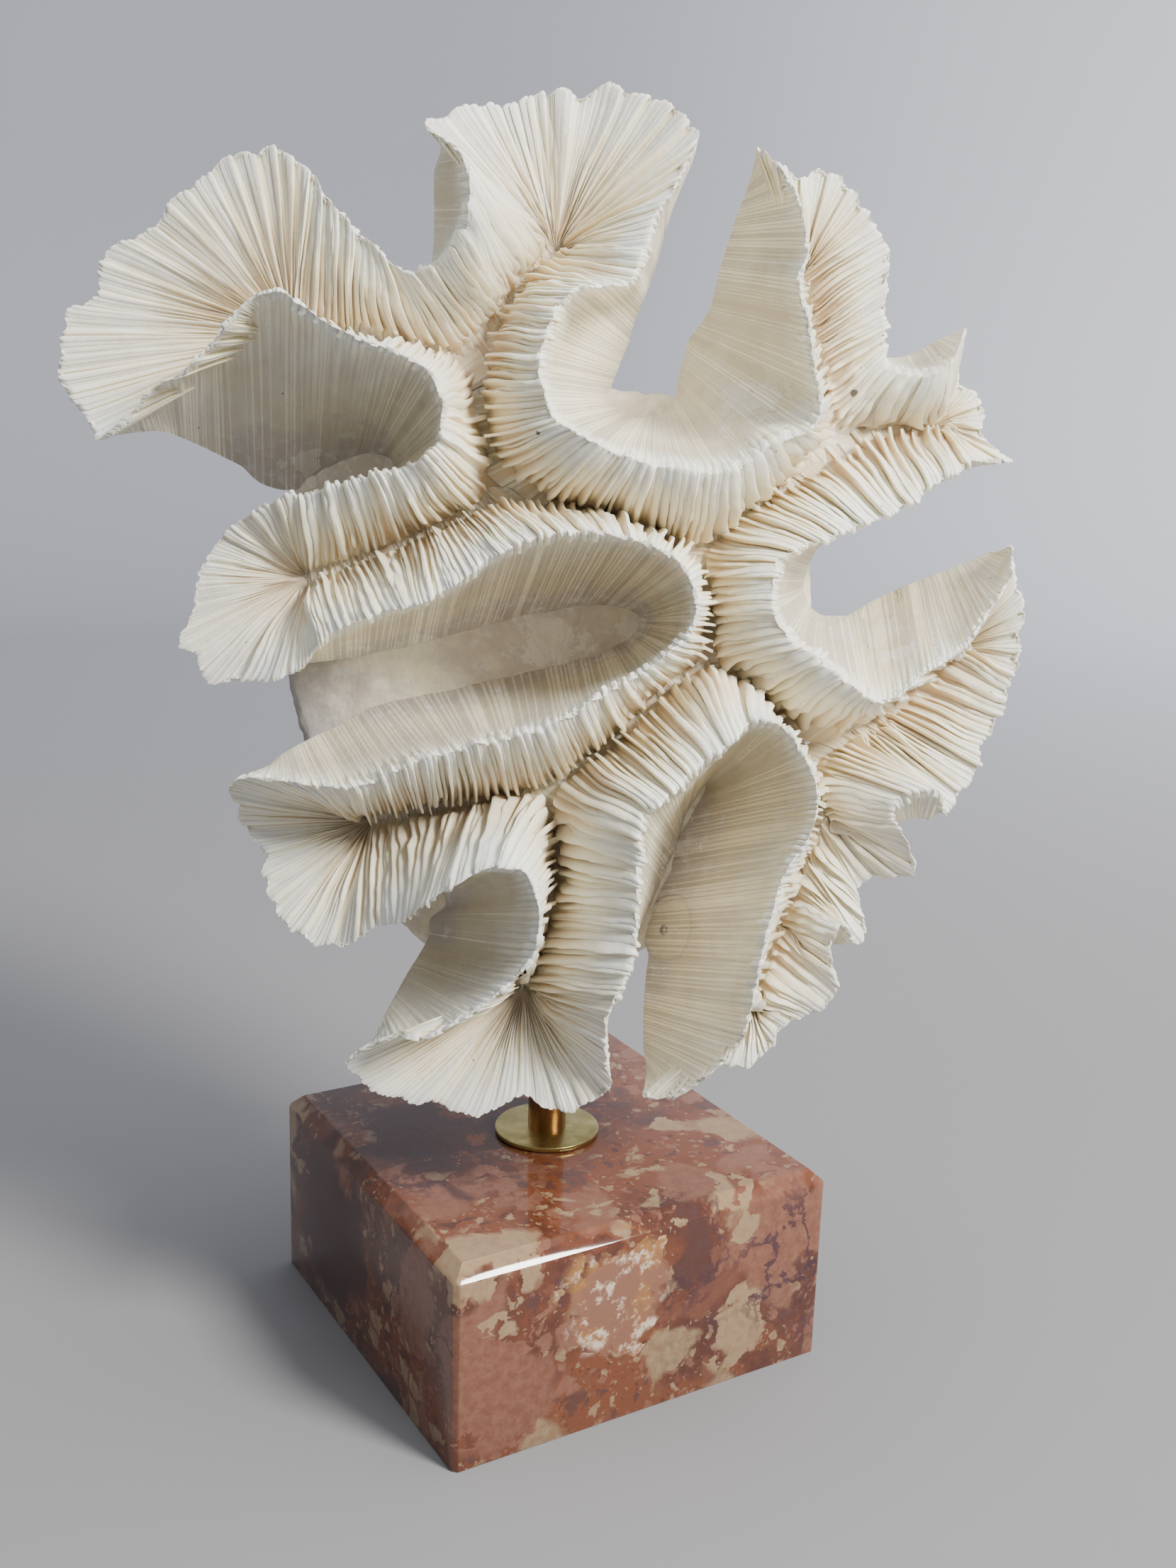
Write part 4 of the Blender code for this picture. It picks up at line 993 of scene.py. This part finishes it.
def crusted(s, settings, scale):
    """Worn grey with white crusts."""
    return s.mix(s.between(s.noise(scale, 6, 0.7), 0.5, 0.66), settings.worn, settings.crust)


def peeled_share(s):
    """Where a thin layer has peeled, in patches with ragged edges."""
    ragged = s.between(s.noise(110, 5, 0.65), 0.3, 0.7, -6.0, 6.0)
    patch = 0.0
    for place, reach in PEELED_PATCHES:
        away = s.calc("ADD", s.distance(place), ragged)
        patch = s.calc("MAXIMUM", s.between(away, reach - 0.4, reach + 0.2, 1.0, 0.0), patch)
    return patch


def marked(s, colour, settings):
    """The colour with the warm scar, the holes painted dark as the shade inside them, the green stain and a
    few specks.
    """
    colour = s.mix(s.inside(SCAR, SCAR_REACH - 0.15, 0.5, 0.02), colour, settings.honey)
    # Painted shade: each hole is a dark disc in the speck colour.
    for place, reach in HOLES:
        colour = s.mix(s.inside(place, reach, 1.0), colour, settings.speck)
    stain = s.calc("ADD", s.distance(STAIN), s.between(s.noise(600, 3), 0.3, 0.7, -0.6, 0.6))
    colour = s.mix(s.between(stain, 0.6 * STAIN_REACH, STAIN_REACH, 0.7, 0.0), colour, settings.stain)
    speck = s.between(s.cells(260), 0.06, 0.09, 1.0, 0.0)
    rare = s.between(s.noise(90, 2), 0.62, 0.64)
    return s.mix(s.calc("MULTIPLY", s.calc("MULTIPLY", speck, rare), 0.7), colour, settings.speck)


def scar_relief(s):
    """Height in mm of the scar's raised edge and of the nipple on it."""
    from_edge = s.calc("ABSOLUTE", s.calc("SUBTRACT", s.distance(SCAR), SCAR_REACH), 0.0)
    nipple = s.between(s.distance(NIPPLE), 0.2, NIPPLE_REACH, 1.8, 0.0)
    return s.calc("ADD", s.between(from_edge, 0.0, 0.7, 0.3, 0.0), nipple)


def stalk_material(settings):
    """Worn, crusted stalk, darker grey towards its open end."""
    s = Shader("coral_stalk_crust")
    colour = s.mix(s.between(s.noise(90, 5, 0.65), 0.45, 0.7), crusted(s, settings, 220), settings.ivory)
    colour = s.mix(s.calc("MULTIPLY", peeled_share(s), 0.75), colour, settings.tip)
    ragged = s.between(s.noise(160, 5, 0.7), 0.3, 0.7, -5.0, 5.0)
    dark_end = s.between(s.calc("ADD", s.distance(STALK_DARK_END), ragged), 6, 24, 0.8, 0.0)
    colour = s.mix(dark_end, colour, settings.dark_end)
    s.set(Base_Color=colour, Roughness=0.8)
    s.bump(s.noise(700, 5, 0.7), 0.6, 0.8 * MM)
    return s.material


def placed_piece(s, at, under, colour, centre, reach, border=0.12):
    """A broken piece of the marble at a known place, over the colour under it."""
    off = s.vector("SUBTRACT", at, in_metres(centre)).outputs[0]
    scaled = s.vector("DIVIDE", off, in_metres(reach)).outputs[0]
    away = s.vector("LENGTH", scaled).outputs["Value"]
    return s.mix(s.between(away, 1 - border, 1 + border, 1.0, 0.0), under, colour)


def in_metres(millimetres):
    return tuple(x * MM for x in millimetres)


def shaken(s, at, colour, reach):
    """Coordinates moved by up to about half of reach mm each way by a pattern's colour."""
    middling = s.vector("SUBTRACT", colour, (0.5, 0.5, 0.5)).outputs[0]
    return s.vector("ADD", at, s.vector("SCALE", middling, scale=reach * MM).outputs[0]).outputs[0]


def small_pieces(s, at, grain, under, settings):
    """Broken pieces of four sizes, finest first, each cell of a pattern a piece or left out."""
    colour = under
    stops = ((0.0, settings.pink), (0.3, settings.beige), (0.52, settings.purple), (0.7, settings.rose),
             (0.86, settings.ground_dark))
    for scale, left_out, shift in MARBLE_SIZES:
        moved = s.vector("ADD", at, (shift, shift * 2, -shift)).outputs[0]
        split = s.add("ShaderNodeSeparateColor")
        s.plug(s.cells(scale, moved, output="Color"), split.inputs[0])
        kinds = s.steps(split.outputs[0], stops)
        kinds = s.mix(s.between(grain, 0.3, 0.75, 0.0, 0.6), kinds, under)
        inside = s.between(s.cells(scale, moved, feature="DISTANCE_TO_EDGE"), 0.02, 0.16)
        chosen = s.between(split.outputs[1], left_out, left_out + 0.01)
        colour = s.mix(s.calc("MULTIPLY", inside, chosen), colour, kinds)
    return colour


def vein_share(s, at):
    """Thin dark veins, all over one corner and here and there elsewhere."""
    vein = s.calc("ABSOLUTE", s.calc("SUBTRACT", s.noise(34, 5, 0.6, at), 0.5), 0.0)
    from_corner = s.vector("DISTANCE", s.here, in_metres(VEIN_PLACE)).outputs["Value"]
    corner = s.between(from_corner, 0.012, 0.024, 1.0, 0.0)
    elsewhere = s.between(s.noise(24, 2, 0.5), 0.55, 0.66, 0.0, 0.7)
    where = s.calc("MAXIMUM", elsewhere, corner)
    return s.calc("MULTIPLY", s.between(vein, 0.004, 0.022, 0.85, 0.0), where)


def marble_material(settings):
    """Polished breccia: pale and purple broken pieces of all sizes in a red-brown ground, with dark veins."""
    s = Shader("red_brown_breccia")
    at = shaken(s, s.here, s.noise(45, 5, 0.65, output="Color"), 14)
    jagged = shaken(s, at, s.cells(150, at, output="Color"), 7)
    grain = s.noise(420, 5, 0.7)
    ground = s.mix(s.between(s.noise(28, 5, 0.6), 0.42, 0.62), settings.ground, settings.ground_dark)
    ground = s.mix(s.between(grain, 0.35, 0.75, 0.0, 0.35), ground, settings.rose)
    colour = small_pieces(s, at, grain, ground, settings)
    stained = s.mix(s.between(s.noise(75, 4, 0.6), 0.44, 0.56), settings.pink, settings.ochre)
    looks = {
        "pink": s.mix(s.between(grain, 0.3, 0.7), settings.pink, settings.rose),
        "beige": s.mix(s.between(grain, 0.35, 0.75, 0.0, 0.5), settings.beige, settings.pink),
        "purple": s.mix(s.between(grain, 0.3, 0.7), settings.purple, settings.ground_dark),
        "calcite": s.mix(s.between(s.noise(150, 6, 0.75), 0.48, 0.57), stained, settings.calcite),
    }
    for look, centre, reach in MARBLE_PIECES:
        colour = placed_piece(s, jagged, colour, looks[look], centre, reach)
    colour = s.mix(vein_share(s, at), colour, settings.vein)
    s.set(Base_Color=colour, Roughness=s.between(s.noise(130, 3), 0.3, 0.7, 0.05, 0.09), IOR=1.52)
    s.bump(s.noise(260, 3), 0.02, 0.3 * MM)
    return s.material


def disc_material(settings):
    s = Shader("disc_brass")
    turned = s.noise(160, 4, 0.6)
    colour = s.mix(s.between(turned, 0.3, 0.7), settings.disc_brass, settings.disc_tarnish)
    s.set(Base_Color=colour, Metallic=1.0, Roughness=s.between(turned, 0.3, 0.7, 0.22, 0.4))
    s.bump(s.noise(900, 3), 0.12, 0.1 * MM)
    return s.material


def rod_material(settings):
    s = Shader("rod_brass")
    stretched = s.add("ShaderNodeMapping")
    stretched.inputs["Scale"].default_value = (1.0, 1.0, 0.08)
    s.plug(s.here, stretched.inputs["Vector"])
    streak = s.noise(500, 4, 0.6, stretched.outputs["Vector"])
    colour = s.mix(s.between(streak, 0.3, 0.7), settings.rod_brass, settings.rod_tarnish)
    s.set(Base_Color=colour, Metallic=1.0, Roughness=s.between(streak, 0.3, 0.7, 0.2, 0.38))
    s.bump(streak, 0.1, 0.1 * MM)
    return s.material


def floor_material(settings):
    """Painted light: the near floor greyer, the backdrop paler, and palest on the side towards the lamp."""
    s = Shader("pale_floor")
    away = s.vector("DOT_PRODUCT", s.here, tuple(AHEAD * (1, 1, 0))).outputs["Value"]
    aside = s.vector("DOT_PRODUCT", s.here, tuple(RIGHT * (1, 1, 0))).outputs["Value"]
    # Painted light: paler with distance and towards the lamp's side.
    far = s.between(away, 0.0, 1.5)
    shade = s.mix(far, settings.floor, settings.backdrop)
    shade = s.mix(s.calc("MULTIPLY", far, s.between(aside, -0.2, 0.8)), shade, settings.bright)
    s.set(Base_Color=shade, Roughness=0.9)
    return s.material


def colour(name, description, value):
    return FloatVectorProperty(name=name, description=description, subtype="COLOR", size=3, min=0, max=1,
                               default=value)


def length(name, description, millimetres):
    return FloatProperty(name=name, description=description, default=millimetres * MM, unit="LENGTH",
                         precision=5)


class CoralSettings(bpy.types.PropertyGroup):
    septum_pitch: length("Septum pitch", "Mean distance between the main septa along the rim", 2.05)
    septum_width: length("Septum width", "Thickness of a main septum at the rim", 0.75)
    fine_width: length("Fine septum width", "Thickness of the finer septa between", 0.4)
    septum_height: length("Septum height", "Height of a main septum over the wall", 2.1)
    # Tips and tan: the pale tips are partly painted light, and the tan deep in the grooves is partly painted
    # shade.
    tip: colour("Tips", "Colour of the septa's upper edges", (0.92, 0.89, 0.765))
    ivory: colour("Ivory", "Colour of the clean skeleton", (0.89, 0.83, 0.645))
    tan: colour("Tan", "Colour deep in the grooves", (0.70, 0.56, 0.38))
    honey: colour("Honey", "Warmer, clearer stretches of the skeleton", (0.86, 0.76, 0.52))
    worn: colour("Worn", "Grey of the old, worn places", (0.72, 0.65, 0.56))
    crust: colour("Crust", "White crusts on the worn places", (0.86, 0.83, 0.77))
    # Dark end: a darker grey blended in towards the stalk's open end.
    dark_end: colour("Dark end", "Dirty grey of the stalk's open end", (0.30, 0.29, 0.30))
    stain: colour("Stain", "Small green stain", (0.15, 0.40, 0.28))
    # The speck colour also paints the holes dark, as painted shade.
    speck: colour("Specks", "Small dark specks", (0.16, 0.13, 0.10))


class StandSettings(bpy.types.PropertyGroup):
    chamfer: length("Chamfer", "Chamfer round the block's top", 3.4)
    arris: length("Arris", "Narrow chamfer down each corner", 1.3)
    easing: length("Easing", "Rounding of every edge of the block", 0.25)
    ground: colour("Ground", "Red-brown ground of the marble", (0.165, 0.052, 0.022))
    ground_dark: colour("Dark ground", "Darker stretches of the ground", (0.075, 0.026, 0.018))
    pink: colour("Pink", "Pink broken pieces", (0.22, 0.10, 0.065))
    beige: colour("Beige", "Beige broken pieces", (0.30, 0.21, 0.12))
    purple: colour("Purple", "Purple-grey broken pieces", (0.075, 0.036, 0.032))
    rose: colour("Rose", "Rose broken pieces", (0.16, 0.06, 0.036))
    calcite: colour("Calcite", "White calcite in the marble", (0.58, 0.46, 0.36))
    ochre: colour("Ochre", "Ochre stains in the calcite", (0.30, 0.14, 0.045))
    vein: colour("Veins", "Dark purple veins", (0.05, 0.02, 0.03))
    disc_brass: colour("Disc brass", "Yellow brass of the disc", (0.66, 0.55, 0.22))
    disc_tarnish: colour("Disc tarnish", "Duller brass of the disc", (0.42, 0.34, 0.12))
    rod_brass: colour("Rod brass", "Brown-toned brass of the rod", (0.50, 0.28, 0.15))
    rod_tarnish: colour("Rod tarnish", "Duller brass of the rod", (0.26, 0.14, 0.08))


class StageSettings(bpy.types.PropertyGroup):
    # Painted light and shade: the floor greys near the stand and pales towards the backdrop and the lamp's
    # side.
    floor: colour("Floor", "Floor near the stand", (0.235, 0.23, 0.235))
    backdrop: colour("Backdrop", "Backdrop", (0.465, 0.47, 0.515))
    bright: colour("Bright side", "Backdrop on the side of the light", (0.93, 0.935, 0.99))
    radius: length("Radius", "Radius of the flat floor", 1100)
    wall: length("Wall", "Height of the backdrop round it", 900)


class CORAL_OT_walls(bpy.types.Operator):
    """Models the ribbed walls of every lobe"""

    bl_idname = "coral.add_walls"
    bl_label = "Coral walls"

    def execute(self, context):
        settings = context.scene.coral_settings
        table = RimTable()
        septa = Septa(table, settings)
        points, shades = coral_points(table, septa, settings)
        runs = lobe_runs(table, septa.places)
        material = coral_material(settings)
        for lobe in LOBES:
            mesh = walls_mesh(runs[lobe], points, shades, f"{lobe}_walls")
            add_piece(f"{lobe}_walls", mesh, material, [f"coral_{lobe}"])
        return {"FINISHED"}


class CORAL_OT_stalk(bpy.types.Operator):
    """Models the rough stalk behind the lobes"""

    bl_idname = "coral.add_stalk"
    bl_label = "Coral stalk"

    def execute(self, context):
        material = stalk_material(context.scene.coral_settings)
        add_piece("stalk", stalk_mesh(), material, ["coral_stalk"])
        return {"FINISHED"}


class CORAL_OT_block(bpy.types.Operator):
    """Models the marble block"""

    bl_idname = "coral.add_block"
    bl_label = "Marble block"

    def execute(self, context):
        settings = context.scene.stand_settings
        add_piece("marble_block", block_mesh(settings), marble_material(settings), ["marble_base"])
        return {"FINISHED"}


class CORAL_OT_fittings(bpy.types.Operator):
    """Models the brass disc and the rod"""

    bl_idname = "coral.add_fittings"
    bl_label = "Disc and rod"

    def execute(self, context):
        settings = context.scene.stand_settings
        disc = turned_mesh("disc", DISC_HIGH.x, DISC_LOW.z, DISC_HIGH.z, 128, 0.25 * MM)
        add_piece("disc", disc, disc_material(settings), ["brass_disc"])
        rod = turned_mesh("rod", ROD_HIGH.x, ROD_LOW.z, ROD_HIGH.z, 64, 0.3 * MM)
        add_piece("rod", rod, rod_material(settings), ["brass_rod"])
        return {"FINISHED"}


def area_light(name, place, size, power, tint):
    """A round lamp at a place, turned to face the coral."""
    light = bpy.data.lights.new(name, "AREA")
    light.shape = "DISK"
    light.size = size
    light.energy = power
    light.color = tint
    lamp = bpy.data.objects.new(name, light)
    bpy.context.scene.collection.objects.link(lamp)
    lamp.location = place
    lamp.rotation_euler = (LIT_POINT - place).to_track_quat("-Z", "Y").to_euler()


def photo_camera():
    """A camera at the photograph's viewing point and angle."""
    camera = bpy.data.cameras.new("camera")
    camera.sensor_width = SENSOR
    camera.lens = SENSOR * FOCAL_PIXELS / PICTURE_HEIGHT
    camera.clip_start = 0.02
    rig = bpy.data.objects.new("camera", camera)
    bpy.context.scene.collection.objects.link(rig)
    turn = Matrix((RIGHT, UP, -AHEAD)).transposed().to_4x4()
    rig.matrix_world = Matrix.Translation(Vector(EYE * MM)) @ turn
    bpy.context.scene.camera = rig


def stage_mesh(settings):
    """A round floor that sweeps up into a backdrop on all sides."""
    bm = bmesh.new()
    profile = [(0.0, 0.0), (settings.radius, 0.0)]
    for angle in np.linspace(0, pi / 2, 17)[1:]:
        profile.append((settings.radius + SWEEP * sin(angle), SWEEP - SWEEP * cos(angle)))
    profile.append((settings.radius + SWEEP, settings.wall))
    verts = [bm.verts.new((x, 0, z)) for x, z in profile]
    edges = [bm.edges.new(pair) for pair in zip(verts, verts[1:])]
    bmesh.ops.spin(bm, geom=verts + edges, cent=(0, 0, 0), axis=(0, 0, 1), angle=2 * pi, steps=96,
                   use_merge=True)
    bmesh.ops.remove_doubles(bm, verts=bm.verts, dist=0.0001)
    bmesh.ops.recalc_face_normals(bm, faces=bm.faces)
    return finished_mesh(bm, "floor")


def add_floor(settings):
    mesh = stage_mesh(settings)
    mesh.materials.append(floor_material(settings))
    floor = bpy.data.objects.new("floor", mesh)
    bpy.context.scene.collection.objects.link(floor)


def add_lamps():
    """A strong lamp from the front right, and a wide weak one from above."""
    side = Vector((RIGHT[0], RIGHT[1], 0)).normalized()
    front = Vector((-AHEAD[0], -AHEAD[1], 0)).normalized()
    key = side * 0.82 + front * 0.62 + Vector((0, 0, 0.88))
    over = side * 0.15 + front * 0.05 + Vector((0, 0, 1.3))
    area_light("key", key, size=0.36, power=35.0, tint=(1.0, 0.98, 0.94))
    area_light("over", over, size=0.8, power=9.0, tint=(0.96, 0.98, 1.0))


def add_sky():
    world = bpy.data.worlds.new("soft_sky")
    world.use_nodes = True
    sky = world.node_tree.nodes["Background"]
    sky.inputs["Color"].default_value = SKY_COLOUR
    sky.inputs["Strength"].default_value = SKY_STRENGTH
    bpy.context.scene.world = world


class CORAL_OT_stage(bpy.types.Operator):
    """Sets up the plain floor, the soft light and the camera"""

    bl_idname = "coral.add_stage"
    bl_label = "Stage"

    def execute(self, context):
        add_floor(context.scene.stage_settings)
        add_lamps()
        add_sky()
        photo_camera()
        return {"FINISHED"}


class CORAL_PT_pieces(bpy.types.Panel):
    """Lists the pieces of the coral on its stand"""

    bl_label = "Brain coral"
    bl_idname = "CORAL_PT_pieces"
    bl_space_type = "VIEW_3D"
    bl_region_type = "UI"
    bl_category = "Brain coral"

    def draw(self, context):
        scene = context.scene
        groups = {"Coral": scene.coral_settings, "Stand": scene.stand_settings, "Stage": scene.stage_settings}
        for label, settings in groups.items():
            self.layout.label(text=label)
            for key in type(settings).__annotations__:
                self.layout.prop(settings, key)
        for operator in OPERATORS:
            self.layout.operator(operator.bl_idname)


OPERATORS = (CORAL_OT_block, CORAL_OT_fittings, CORAL_OT_stalk, CORAL_OT_walls, CORAL_OT_stage)
CLASSES = (CoralSettings, StandSettings, StageSettings, *OPERATORS, CORAL_PT_pieces)


def register():
    for cls in CLASSES:
        bpy.utils.register_class(cls)
    bpy.types.Scene.coral_settings = PointerProperty(type=CoralSettings)
    bpy.types.Scene.stand_settings = PointerProperty(type=StandSettings)
    bpy.types.Scene.stage_settings = PointerProperty(type=StageSettings)


def unregister():
    del bpy.types.Scene.stage_settings
    del bpy.types.Scene.stand_settings
    del bpy.types.Scene.coral_settings
    for cls in reversed(CLASSES):
        bpy.utils.unregister_class(cls)


def main():
    register()
    bpy.ops.coral.add_block()
    bpy.ops.coral.add_fittings()
    bpy.ops.coral.add_stalk()
    bpy.ops.coral.add_walls()
    bpy.ops.coral.add_stage()


if __name__ == "__main__":
    main()
